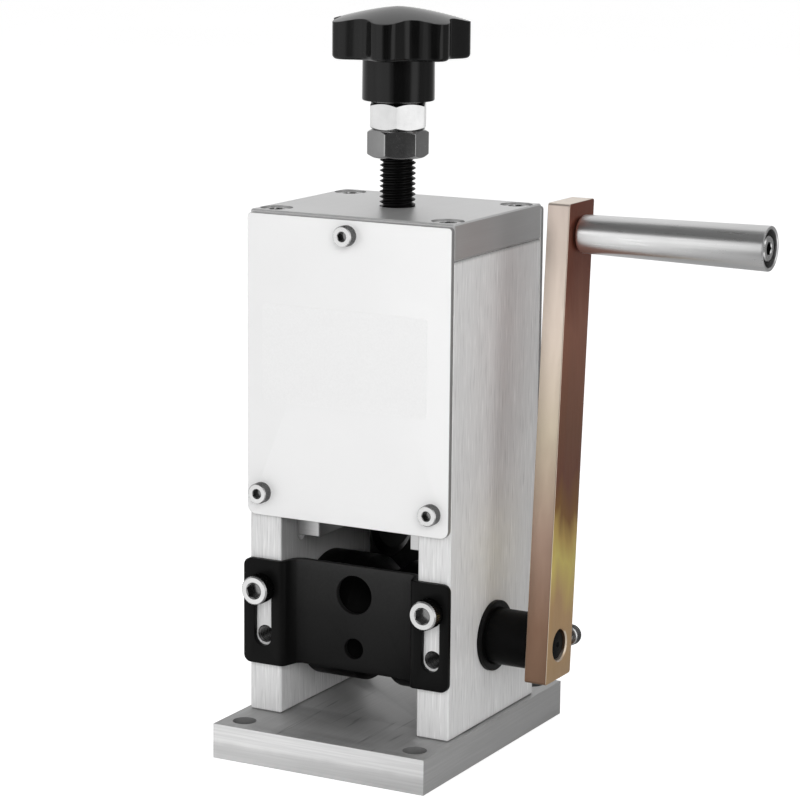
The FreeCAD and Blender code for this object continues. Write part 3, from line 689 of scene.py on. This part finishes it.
def makeCapScrew(size, length, pitch=None):
    # underside of the head at the origin, shank towards -Z
    headRadius, keyRadius = (1.5 * size + 1) / 2, (size - 1) / math.sqrt(3)
    rim, mouth, tip = capScrew["rim"] * size, capScrew["mouth"] * size, size / 10
    columns = 2 * capScrew["ridges"]
    inward = 1 - capScrew["ridgeDepth"]
    shrink = (headRadius - rim) / headRadius
    head = newPrimitive("cylinder", "capScrew", vertices=columns, radius=headRadius * mm,
                        depth=(size - 2 * rim) * mm, location=(0, 0, size / 2 * mm))

    def everyOther(vertex, height):
        turn = math.degrees(math.atan2(vertex.co.y, vertex.co.x)) * columns / 360
        return round(turn) % 2 == 1 and abs(vertex.co.z - height * mm) < near

    def levelFace(face, height):
        return abs(face.normal.z) > 0.9 and abs(face.calc_center_median().z - height * mm) < near

    edit(head)
    for height in (rim, size - rim):
        pick("VERT", lambda v: everyOther(v, height))
        resize(inward, inward, 1)
    for height, step in ((size - rim, rim), (rim, -rim)):
        # the face is drawn out to a smaller round one
        pick("FACE", lambda f: levelFace(f, height))
        extrudeUp(step)
        resize(shrink, shrink, 1)
        pick("VERT", lambda v: everyOther(v, height + step))
        resize(1 / inward, 1 / inward, 1)
    leaveEdit()
    combine(head, newPrimitive("cylinder", "key", vertices=6, radius=keyRadius * mm, depth=size * mm,
                               location=(0, 0, size * mm)))
    floor, face = size - 2 * mouth, size + 0.02
    flare = [(floor, 0), (floor, keyRadius - 1.4 * mouth), (face, keyRadius + 0.5 * mouth), (face, 0)]
    combine(head, turnedPiece("funnel", flare, 48))
    markPaintedShade(head, size, keyRadius)
    if pitch:
        shank = threadedRod("shank", size / 2 - 0.02, pitch, -length, 0.3)
    else:
        profile = [(-length, 0), (-length, size / 2 - tip), (-length + tip, size / 2), (0.2, size / 2),
                   (0.2, 0)]
        shank = turnedPiece("shank", profile, 32)
    return joined("capScrew", [head, shank])


def markPaintedShade(head, size, keyRadius):
    # the knurled side and, less so, the key socket get an attribute that paints shade on them
    mark = head.data.attributes.new("socket", "FLOAT", "FACE")
    for face in head.data.polygons:
        x, y, z = face.center / mm
        deep = 0.3 * size < z < size - 1.5 * capScrew["mouth"] * size
        inside = deep and math.hypot(x, y) < keyRadius
        knurled = abs(face.normal.z) < 0.3 and math.hypot(x, y) > 1.1 * keyRadius
        mark.data[face.index].value = (capScrew["socketShade"] if inside else
                                       capScrew["sideShade"] if knurled else 0.0)


def screwSet(name, size, length, places, direction, body="frame", pitch=None, spin=17, lean=False):
    # one screw modelled, then a copy at each place with its key socket turned another way
    first = makeCapScrew(size, length, pitch)
    copies = [copyAt(first, upTo(direction) @ Matrix.Rotation(math.radians(spin + 41 * k), 3, "Z"), spot)
              for k, spot in enumerate(places)]
    bpy.data.objects.remove(first)
    piece = joined(name.replace("_", "-"), copies)
    place(leaned(piece) if lean else piece, body, "zinc_screw", zincFinish, name)


def corners(x, y):
    return [(sx * x, sy * y) for sx in (-1, 1) for sy in (-1, 1)]


sideX = 32.0                # middle of the side plates
coverSpots = [(0, 178.0), (-sideX, 89.0), (sideX, 89.0)]
guideSpots = [(-sideX, 56.0), (sideX, 56.0)]
screws = {
    # thread, length, distance from the middle, seat's height and the way that the head looks
    "top_plate_screws": (6, 30, 25.0, 177.5, 1),
    "base_screws": (6, 30, 22.0, 6.5, -1),
    # thread, length, seat's distance from the middle, and places across and up
    "cover_screws": (4, 10, 34.0, coverSpots),
    "guide_screws": (6, 14, 34.0, guideSpots),
}
for name in ("top_plate_screws", "base_screws"):
    size, length, y, seat, up = screws[name]
    screwSet(name, size, length, [(*spot, seat) for spot in corners(sideX, y)], (0, 0, up))
for name in ("cover_screws", "guide_screws"):
    size, length, seat, spots = screws[name]
    for end, side in (("front_", -1), ("rear_", 1)):
        screwSet(end + name, size, length, [(x, side * seat, z) for x, z in spots], (0, side, 0))
print("screws modelled")


# base plate
def makeBase():
    b = basePlate
    plate = newBlock("base-plate", (-b["halfWidth"], b["front"], 0), (b["halfWidth"], b["back"], b["height"]))
    through = b["height"] + 2
    for x in (-b["holeX"], b["holeX"]):
        for y in (b["holeFront"], b["holeBack"]):
            drill(plate, b["holeRadius"], (x, y, -1), "Z", through)
    for x, y in corners(b["screwX"], b["screwY"]):
        drill(plate, b["screwHole"], (x, y, -1), "Z", through)
        drill(plate, b["headHole"], (x, y, -1), "Z", b["headDepth"] + 1)
    return soften(plate, b["edge"])


place(makeBase(), "frame", "aluminium_plate", baseFinish, "base_plate")
print("base plate modelled")


# tapped holes that stay open under the guide screws
spareHole = {"z": 39.3, "radius": 3.03, "inner": 2.45, "pitch": 1.0, "depth": 13.0, "face": 32.0}


def tappedSleeves():
    # thread turns inside each open hole of the side plates
    h = spareHole
    sleeve = turnedPiece("sleeve", [(-h["depth"], h["inner"]), (-h["depth"], h["radius"]),
                                    (-0.15, h["radius"]), (-0.6, h["inner"])], 40)
    combine(sleeve, threadedRod("tap", h["radius"] - 0.03, h["pitch"], -h["depth"] - 1, 1))
    copies = [copyAt(sleeve, upTo((0, side, 0)), (x, side * h["face"], h["z"]))
              for side in (-1, 1) for x in (-sideX, sideX)]
    bpy.data.objects.remove(sleeve)
    place(joined("tapped-sleeves", copies), "frame", "aluminium_plate", tappedFinish)


tappedSleeves()
print("tapped holes modelled")


# knob, nuts and spindle
knob = {
    "lobes": 7,
    "perLobe": 20,          # columns of vertices
    "turn": -74.9, "lobeRadius": 23.7, "valleyRadius": 19.0,
    "lobeHalf": 12.6,       # degrees from a lobe's middle to where it meets the valley
    "rimLow": 233.4, "top": 250.3, "dome": 4.8, "domeCurve": 1.5, "domeSteps": 18,
    "hubRadius": 12.1, "hubLow": 219.3, "bossRadius": 9.4, "bossLow": 218.8, "bore": 6.05,
    "lowEdge": 1.5, "topEdge": 0.7,
}


def makeKnob():
    k = knob
    height, turn, half = k["top"] - k["rimLow"], math.radians(k["turn"]), math.radians(k["lobeHalf"])
    star = newPrimitive("cylinder", "star", vertices=k["lobes"] * k["perLobe"], radius=k["lobeRadius"] * mm,
                        depth=height * mm, location=(0, 0, (k["rimLow"] + height / 2) * mm),
                        rotation=(0, 0, turn))
    edit(star)
    step = 2 * math.pi / k["lobes"]
    swing = (k["lobeRadius"] - k["valleyRadius"]) / 2
    for number in range(1, k["perLobe"] // 2 + 1):
        # columns of vertices at the same place on every lobe move in together
        offset = number * step / k["perLobe"]
        if offset < half:
            radius = k["lobeRadius"] - swing * (offset / half) ** 2
        else:
            radius = k["valleyRadius"] + swing * ((step / 2 - offset) / (step / 2 - half)) ** 2

        def onColumn(vertex):
            away = abs((math.atan2(vertex.co.y, vertex.co.x) - turn + step / 2) % step - step / 2)
            return abs(away - offset) < step / k["perLobe"] / 4

        pick("VERT", onColumn)
        shrink = radius / k["lobeRadius"]
        resize(shrink, shrink, 1)
    low = k["rimLow"] * mm
    bevelEdges(lambda e: all(abs(v.co.z - low) < near for v in e.verts), k["lowEdge"], 5)
    leaveEdit()
    reach = 1.3 * k["lobeRadius"]
    spread = [reach * i / k["domeSteps"] for i in range(k["domeSteps"] + 1)]
    profile = [(k["top"] - k["dome"] * (r / k["lobeRadius"]) ** k["domeCurve"], r) for r in spread]
    profile += [(k["rimLow"] - 6, reach), (k["rimLow"] - 6, 0)]
    combine(star, turnedPiece("dome", profile), "INTERSECT")
    edit(star)
    pickAll()
    bpy.ops.mesh.remove_doubles(threshold=10 * near)
    above = (k["rimLow"] + 4) * mm
    pick("EDGE", lambda e: middle(e).z > above and len(e.link_faces) == 2
         and e.calc_face_angle() > math.radians(50))
    bpy.ops.mesh.bevel(offset=k["topEdge"] * mm, segments=3, clamp_overlap=True)
    leaveEdit()
    r, low, boss, inside = k["hubRadius"], k["hubLow"], k["bossLow"], k["rimLow"] + 2
    profile = [(boss, k["bore"]), (boss, k["bossRadius"]), (low, k["bossRadius"]), (low, r - 0.55),
               (low + 0.15, r - 0.15), (low + 0.55, r), (inside, r - 0.1), (inside, k["bore"])]
    return joined("star-knob", [star, turnedPiece("hub", profile)])


nuts = {
    "flats": 18.0,
    "bore": 6.05,
    "mouth": 0.6,           # chamfer round the bore
    "lock-nut": {"low": 200.4, "height": 9.4, "turn": 3.0, "edge": 0.35},
    "knob-nut": {"low": 209.8, "height": 9.0, "turn": 24.5, "edge": 0.45},
}


def makeNut(name):
    # a turned ring with chamfered ends, then cut by six planes
    flats, bore, mouth = nuts["flats"], nuts["bore"], nuts["mouth"]
    low, height, turn, edge = nuts[name].values()
    high = low + height
    corner, face = flats / math.sqrt(3), flats / 2 * 0.95
    drop = (corner - face) * math.tan(math.radians(30))
    profile = [(low, bore + mouth), (low, face), (low + drop, corner), (high - drop, corner), (high, face),
               (high, bore + mouth), (high - mouth, bore), (low + mouth, bore)]
    nut = turnedPiece(name, profile, 120)
    edit(nut)
    for k in range(6):
        around = math.radians(turn + 60 * k)
        outwards = Vector((math.cos(around), math.sin(around), 0))
        cutOff(outwards * flats / 2 * mm, outwards)
    tidyMesh()
    leaveEdit()
    return soften(nut, edge, 3, 28)


place(makeKnob(), "spindle_body", "black_knob", knobFinish, "star_knob")
place(makeNut("lock-nut"), "spindle_body", "grey_nut", greyNutFinish, "lock_nut")
place(makeNut("knob-nut"), "spindle_body", "bright_nut", brightNutFinish, "knob_nut")

spindle = {"radius": 6.0, "pitch": 1.75, "low": 126.65, "high": 240.8, "neck": 4.0, "collar": 7.0,
           "collarLow": 117.15, "collarHigh": 122.35, "chamfer": 0.3}


def makeSpindle():
    p = spindle
    rod = threadedRod("rod", p["radius"], p["pitch"], p["low"], p["high"], steps=44)
    low, high, radius, c = p["collarLow"], p["collarHigh"], p["collar"], p["chamfer"]
    profile = [(low, 0), (low, radius - c), (low + c, radius), (high - c, radius), (high, radius - c),
               (high, p["neck"]), (p["low"] + 0.5, p["neck"]), (p["low"] + 0.5, 0)]
    return joined("spindle-thread", [rod, turnedPiece("foot", profile, 64)])


place(makeSpindle(), "spindle_body", "black_thread", threadFinish, "spindle")
print("knob, nuts and spindle modelled")


# covers
cover = {"halfWidth": 38.0, "low": 81.0, "high": 183.0, "inner": 32.0, "outer": 34.0, "lowCorner": 3.0,
              "topCorner": 1.2, "edge": 0.35, "screwHole": 2.25}


def makeCover(name, side):
    c = cover
    y0, y1 = sorted((side * c["inner"], side * c["outer"]))
    sheet = newBlock(name.replace("_", "-"), (-c["halfWidth"], y0, c["low"]), (c["halfWidth"], y1, c["high"]))
    edit(sheet)
    halfway = (c["low"] + c["high"]) / 2 * mm
    bevelEdges(lambda e: runsAlong(e, 1) and middle(e).z < halfway, c["lowCorner"], 8)
    bevelEdges(lambda e: runsAlong(e, 1) and middle(e).z > (c["high"] - 0.1) * mm, c["topCorner"], 6)
    front = side * c["outer"] * mm
    bevelEdges(lambda e: all(abs(v.co.y - front) < near for v in e.verts), c["edge"], 3)
    leaveEdit()
    for x, z in coverSpots:
        drill(sheet, c["screwHole"], (x, y0 - 1, z), "Y", y1 - y0 + 2, 40)
    place(sheet, "frame", "white_cover", whiteFinish, name)


makeCover("front_cover", -1)
makeCover("rear_cover", 1)
print("covers modelled")


# guide plates
guide = {
    "leftX": -39.4, "rightX": 38.5, "low": 29.2, "high": 65.6, "front": 34.0, "thick": 2.0, "edge": 0.25,
    "bendX": 24.2,          # ear's inner end on the front face
    "slant": 2.0, "recess": 7.5, "bend": 1.8, "corner": 2.6,
    "rearLift": 8.0,        # the rear plate stands this much higher than the front one
    "slotX": 32.0, "slotRadius": 3.3, "slotHalf": 8.6,
    "holeX": -0.9, "bigHole": (55.6, 6.7), "smallHole": (37.0, 3.6),       # height and radius of each
}


def makeGuide():
    # one strip along the front line, bent, then thickened backwards
    g = guide
    front, inner = -g["front"], g["bendX"] - g["slant"]
    line = [(g["leftX"], front), (-g["bendX"], front), (-g["bendX"] + g["slant"], front + g["recess"]),
            (inner, front + g["recess"]), (g["bendX"], front), (g["rightX"], front)]
    strip = drawLine("guide", [Vector((x, y, g["low"])) for x, y in line])
    extrudeUp(g["high"] - g["low"])
    bevelEdges(lambda e: runsAlong(e, 2) and abs(middle(e).x) < (g["rightX"] - 1) * mm, g["bend"], 6)
    pickAll()
    bpy.ops.mesh.normals_make_consistent(inside=False)
    ear = min(bmesh.from_edit_mesh(strip.data).faces, key=lambda f: f.calc_center_median().x)
    if ear.normal.y > 0:
        bpy.ops.mesh.flip_normals()
    leaveEdit()
    applyModifier(strip, "SOLIDIFY", thickness=g["thick"] * mm, offset=-1.0, use_even_offset=True)
    edit(strip)
    bevelEdges(lambda e: runsAlong(e, 1) and abs(middle(e).x) > (g["rightX"] - 0.5) * mm, g["corner"], 8)
    leaveEdit()
    centre, radius, half = (g["low"] + g["high"]) / 2, g["slotRadius"], g["slotHalf"]
    for x in (-g["slotX"], g["slotX"]):
        slot = newBlock("slot", (x - radius, front - 2, centre - half),
                        (x + radius, front + 4, centre + half))
        edit(slot)
        for end in (-1, 1):
            pick("FACE", lambda f: f.normal.z * end > 0.9)
            extrudeUp(end * radius)
        reach = (half + radius) * mm
        bevelEdges(lambda e: runsAlong(e, 1) and abs(abs(middle(e).z - centre * mm) - reach) < near,
                   radius * 0.999, 10)
        leaveEdit()
        combine(strip, slot)
    for z, radius in (g["bigHole"], g["smallHole"]):
        drill(strip, radius, (g["holeX"], front, z), "Y", g["recess"] + 5)
    return soften(strip, g["edge"])


frontGuide = makeGuide()
rearGuide = copyAt(frontGuide, Matrix.Rotation(math.pi, 3, "Z"), (0, 0, guide["rearLift"]))
frontGuide.name, rearGuide.name = "front-guide-plate", "rear-guide-plate"
place(frontGuide, "front_guide", "black_sheet", sheetBlackFinish, "front_guide_plate")
place(rearGuide, "rear_guide", "black_sheet", sheetBlackFinish, "rear_guide_plate")
print("guide plates modelled")


# feed roller, shaft and bush
shaftZ = 41.0
roller = {"half": 25.7, "radius": 21.75, "groove": 14.4, "floor": 1.2, "depth": 4.6, "bore": 9.5,
          "columns": 144, "toothDepth": 0.35}


def makeRoller():
    # turned outline, with straight teeth on the two slopes of the groove
    r = roller
    end, out, low, side = -r["half"], r["radius"], r["radius"] - r["depth"], r["groove"] / 2
    profile = [(end, r["bore"]), (end, out - 0.6), (end + 0.6, out), (-side - 0.4, out), (-side, out - 0.15),
               (-side + 0.8, out - 0.7), (-r["floor"] / 2 - 0.5, low + 0.3), (-r["floor"] / 2, low)]
    profile += [(-x, y) for x, y in reversed(profile)]
    piece = turnedPiece("feed-roller", profile, r["columns"], shaftZ)
    edit(piece)

    def onTooth(vertex):
        around = math.atan2(vertex.co.y, vertex.co.z - shaftZ * mm) * r["columns"] / (2 * math.pi)
        offset = abs(vertex.co.x) / mm
        return round(around) % 2 == 1 and r["floor"] / 2 + 0.1 < offset < side - 0.1

    pick("VERT", onTooth)
    shrink = 1 - r["toothDepth"] / out
    resize(1, shrink, shrink, shaftZ)
    tidyMesh()
    return leaveEdit()


place(makeRoller(), "crank", "black_steel", oxideFinish, "feed_roller")

bush = {"outer": 11.05, "bore": 9.55, "inner": 26.0, "face": 38.0, "flange": 12.0, "flangeThick": 1.8}


def makeBush():
    b = bush
    end = b["face"] + b["flangeThick"]
    profile = [(b["inner"], b["bore"]), (b["inner"], b["outer"]), (b["face"], b["outer"]),
               (b["face"], b["flange"]), (end, b["flange"]), (end, b["bore"])]
    return soften(turnedPiece("right-bush", profile, axleZ=shaftZ), 0.3, 3)


place(makeBush(), "frame", "black_bush", bushFinish, "right_bush")

shaft = {"radius": 9.5, "end": 5.25, "start": -34.7, "shoulder": 55.0, "tip": 62.2}


def makeShaft():
    start, shoulder, tip, radius, end = (shaft[k] for k in ("start", "shoulder", "tip", "radius", "end"))
    profile = [(start, 0), (start, radius - 0.8), (start + 0.8, radius), (shoulder - 0.6, radius),
               (shoulder, radius - 0.6), (shoulder, end), (tip - 1.2, end), (tip - 0.35, end - 0.5),
               (tip, end - 1.6), (tip, 1.1), (tip - 0.9, 0)]
    return turnedPiece("main-shaft", profile, axleZ=shaftZ)


place(makeShaft(), "crank", "black_steel", oxideFinish, "main_shaft")
print("roller, shaft and bush modelled")


# crank arm and handle
crank = {
    "lean": 4.1, "inner": 55.0, "outer": 63.0, "halfWidth": 9.5, "reach": 137.5,
    "low": 29.4, "high": 188.75,            # both ends are level, though the arm leans
    "corner": 1.0, "edge": 0.35, "bore": 5.28, "boreMouth": 5.75, "boltHole": 2.55, "tapHole": 2.05,
}
handleZ = shaftZ + crank["reach"]
armX = (crank["inner"] + crank["outer"]) / 2


def leaned(piece):
    # the crank's pieces are made upright and leaned back about the shaft
    activate(piece)
    bpy.ops.transform.rotate(value=math.radians(crank["lean"]), orient_axis="X",
                             center_override=(0, 0, shaftZ * mm))
    applyPlace()
    return piece


def makeArm():
    c = crank
    x0, x1, half = c["inner"], c["outer"], c["halfWidth"]
    bar = leaned(newBlock("crank-arm", (x0, -half, c["low"] - 10), (x1, half, c["high"] + 10)))
    edit(bar)
    cutBetween(c["low"], c["high"])
    bevelEdges(lambda e: runsAlong(e, 0), c["corner"], 6)
    bevelEdges(lambda e: abs(abs(middle(e).x - armX * mm) - (x1 - x0) / 2 * mm) < near, c["edge"], 3)
    leaveEdit()
    through, mouth = x1 - x0 + 2, c["boreMouth"] - c["bore"]
    drill(bar, c["bore"], (x0 - 1, 0, shaftZ), "X", through)
    flare = [(x1 - mouth, 0), (x1 - mouth, c["bore"]), (x1 + 0.02, c["boreMouth"]), (x1 + 0.02, 0)]
    combine(bar, turnedPiece("flare", flare, 64, shaftZ))
    combine(bar, leaned(cutter(c["boltHole"], (x0 - 1, 0, handleZ), "X", through, 40)))
    return combine(bar, leaned(cutter(c["tapHole"], (armX, 2, shaftZ), "Y", half + 2, 40)))


place(makeArm(), "crank", "yellow_chromate", armFinish, "crank_arm")

clamp = {"size": 4.0, "length": 10.0, "pitch": 0.7, "seat": 14.85}
screwSet("arm_clamp_screw", clamp["size"], clamp["length"], [(armX, clamp["seat"], shaftZ)], (0, 1, 0),
         "crank", clamp["pitch"], spin=0, lean=True)

handle = {
    "start": 63.4, "end": 129.2, "innerRadius": 6.4, "outerRadius": 7.35, "round": 1.4,
    "seat": 64.0, "seatRadius": 4.4,        # recess for the washer at the arm
    "mouth": 6.2, "mouthDepth": 6.8, "bore": 2.55, "boltSize": 5.0, "headFace": 123.7,
}


def makeHandle():
    h = handle
    r0, r1, x0, x1, mouth = h["innerRadius"], h["outerRadius"], h["start"], h["end"], h["mouth"]
    seat, floor = h["seat"], x1 - h["mouthDepth"]
    rounding = [(x0 + h["round"] * (1 - math.cos(t)), r0 - h["round"] * (1 - math.sin(t)))
                for t in [math.radians(a) for a in range(0, 91, 15)]]
    profile = [(seat, h["bore"]), (seat, h["seatRadius"]), (x0, h["seatRadius"]), *rounding, (x1 - 0.45, r1),
               (x1 - 0.12, r1 - 0.12), (x1, r1 - 0.4), (x1, mouth + 0.3), (x1 - 0.3, mouth), (floor, mouth),
               (floor, h["bore"])]
    return leaned(turnedPiece("handle-sleeve", profile, 112, handleZ))


place(makeHandle(), "handle", "satin_steel", satinFinish, "handle_sleeve")
screwSet("handle_bolt", handle["boltSize"], handle["headFace"] - crank["inner"],
         [(handle["headFace"], 0, handleZ)], (1, 0, 0), "crank", spin=0, lean=True)
print("crank and handle modelled")


# floor, world and lamps
studio = {
    # tone of the surroundings by compass direction, in degrees round from +X
    "panels": [(-180, 0.50), (-150, 0.85), (-128, 1.15), (-96, 1.12), (-84, 0.45), (-74, 0.08),
               (-48, 0.08), (-28, 0.25), (-14, 1.35), (-4, 1.35), (12, 0.40), (34, 0.36), (50, 0.24),
               (72, 0.26), (96, 0.65), (118, 0.80), (145, 0.60), (180, 0.50)],
    # the same close to the feet of the machine
    "closePanels": [(-180, 0.8), (-150, 1.0), (-118, 1.15), (-88, 0.7), (-60, 0.4), (-10, 0.42), (30, 0.36),
                    (72, 0.36), (118, 0.6), (150, 0.7), (180, 0.8)],
    "closeReach": (0.12, 0.5),              # metres over which the close ones give way to the others
    "overhead": 0.13,
    "overheadAim": (-0.30, -0.45, 0.84),    # towards the middle of the dark patch of sky
    "overheadReach": (0.766, 0.883),        # cosines at the patch's outer and inner edge
    "floorTone": 0.86,
    "floorLift": 0.62,
}


def panelTone(tree, vector, panels):
    spot = addNode(tree, "SeparateXYZ", Vector=vector).outputs
    turn = share(tree, maths(tree, "ARCTAN2", spot["Y"], spot["X"]), -math.pi, math.pi)
    return ramp(tree, turn, [((a + 180) / 360, tone) for a, tone in panels], "EASE")


def emptyTree(owner):
    owner.use_nodes = True
    owner.node_tree.nodes.clear()
    return owner.node_tree


def seenBy(tree, first, second):
    # 1 for rays of either kind
    path = addNode(tree, "LightPath").outputs
    return maths(tree, "MAXIMUM", path[first], path[second])


def addWorld():
    world = bpy.data.worlds.new("studio")
    bpy.context.scene.world = world
    tree = emptyTree(world)
    around = addNode(tree, "TexCoord").outputs["Generated"]
    tone = panelTone(tree, around, studio["panels"])
    towards = addNode(tree, "VectorMath", {"operation": "DOT_PRODUCT"}, n0=around, n1=studio["overheadAim"])
    up = share(tree, towards.outputs["Value"], *studio["overheadReach"], smooth=True)
    tone = mixColour(tree, up, tone, grey(studio["overhead"]))
    light = addNode(tree, "Background", Color=tone, Strength=1.0)
    plain = addNode(tree, "Background", Color=grey(1.0), Strength=1.0)
    both = addNode(tree, "MixShader", n0=seenBy(tree, "Is Camera Ray", "Is Transmission Ray"),
                   n1=light.outputs[0], n2=plain.outputs[0])
    addNode(tree, "OutputWorld", Surface=both.outputs[0])


def addFloor():
    # white to the camera, and to reflections the panels' tones
    floor = newPrimitive("plane", "studio-floor", size=30, location=(0, 0, 0))
    material = bpy.data.materials.new("pale_floor")
    tree = emptyTree(material)
    tone = studio["floorTone"]
    lit = addNode(tree, "BsdfDiffuse", Color=clouded(tree, noise(tree, 3.0, 2), tone - 0.01, tone + 0.01))
    lift = addNode(tree, "Emission", Color=grey(1.0), Strength=studio["floorLift"])
    shown = addNode(tree, "AddShader", n0=lit.outputs[0], n1=lift.outputs[0])
    path = addNode(tree, "LightPath").outputs
    direct = addNode(tree, "MixShader", n0=path["Is Camera Ray"], n1=lit.outputs[0], n2=shown.outputs[0])
    vector = objectCoords(tree)
    away = addNode(tree, "VectorMath", {"operation": "LENGTH"}, n0=vector).outputs["Value"]
    far = share(tree, away, *studio["closeReach"], smooth=True)
    close, distant = (panelTone(tree, vector, studio[k]) for k in ("closePanels", "panels"))
    mirrored = addNode(tree, "Emission", Color=mixColour(tree, far, close, distant), Strength=1.0)
    both = addNode(tree, "MixShader", n0=seenBy(tree, "Is Glossy Ray", "Is Transmission Ray"),
                   n1=direct.outputs[0], n2=mirrored.outputs[0])
    addNode(tree, "OutputMaterial", Surface=both.outputs[0])
    floor.data.materials.append(material)


lamps = {
    # azimuth round from +X, elevation, distance, width, power; none of them shows in metal
    "keyLeft": (-112, 30, 1.6, 1.0, 1.8),
    "fillRight": (-58, 22, 1.7, 0.9, 14.0),
    "backHigh": (95, 55, 1.6, 1.5, 4.0),
}


def addLamps():
    aim = Vector((0, 0, 0.11))
    for name, (azimuth, elevation, distance, width, power) in lamps.items():
        a, e = math.radians(azimuth), math.radians(elevation)
        towards = Vector((math.cos(a) * math.cos(e), math.sin(a) * math.cos(e), math.sin(e)))
        bpy.ops.object.light_add(type="AREA", location=aim + towards * distance,
                                 rotation=towards.to_track_quat("Z", "Y").to_euler())
        lamp = active()
        lamp.name = name
        lamp.data.shape = "RECTANGLE"
        lamp.data.size, lamp.data.size_y, lamp.data.energy = width, width, power
        lamp.visible_glossy = False


addWorld()
addFloor()
addLamps()
print("studio set up")
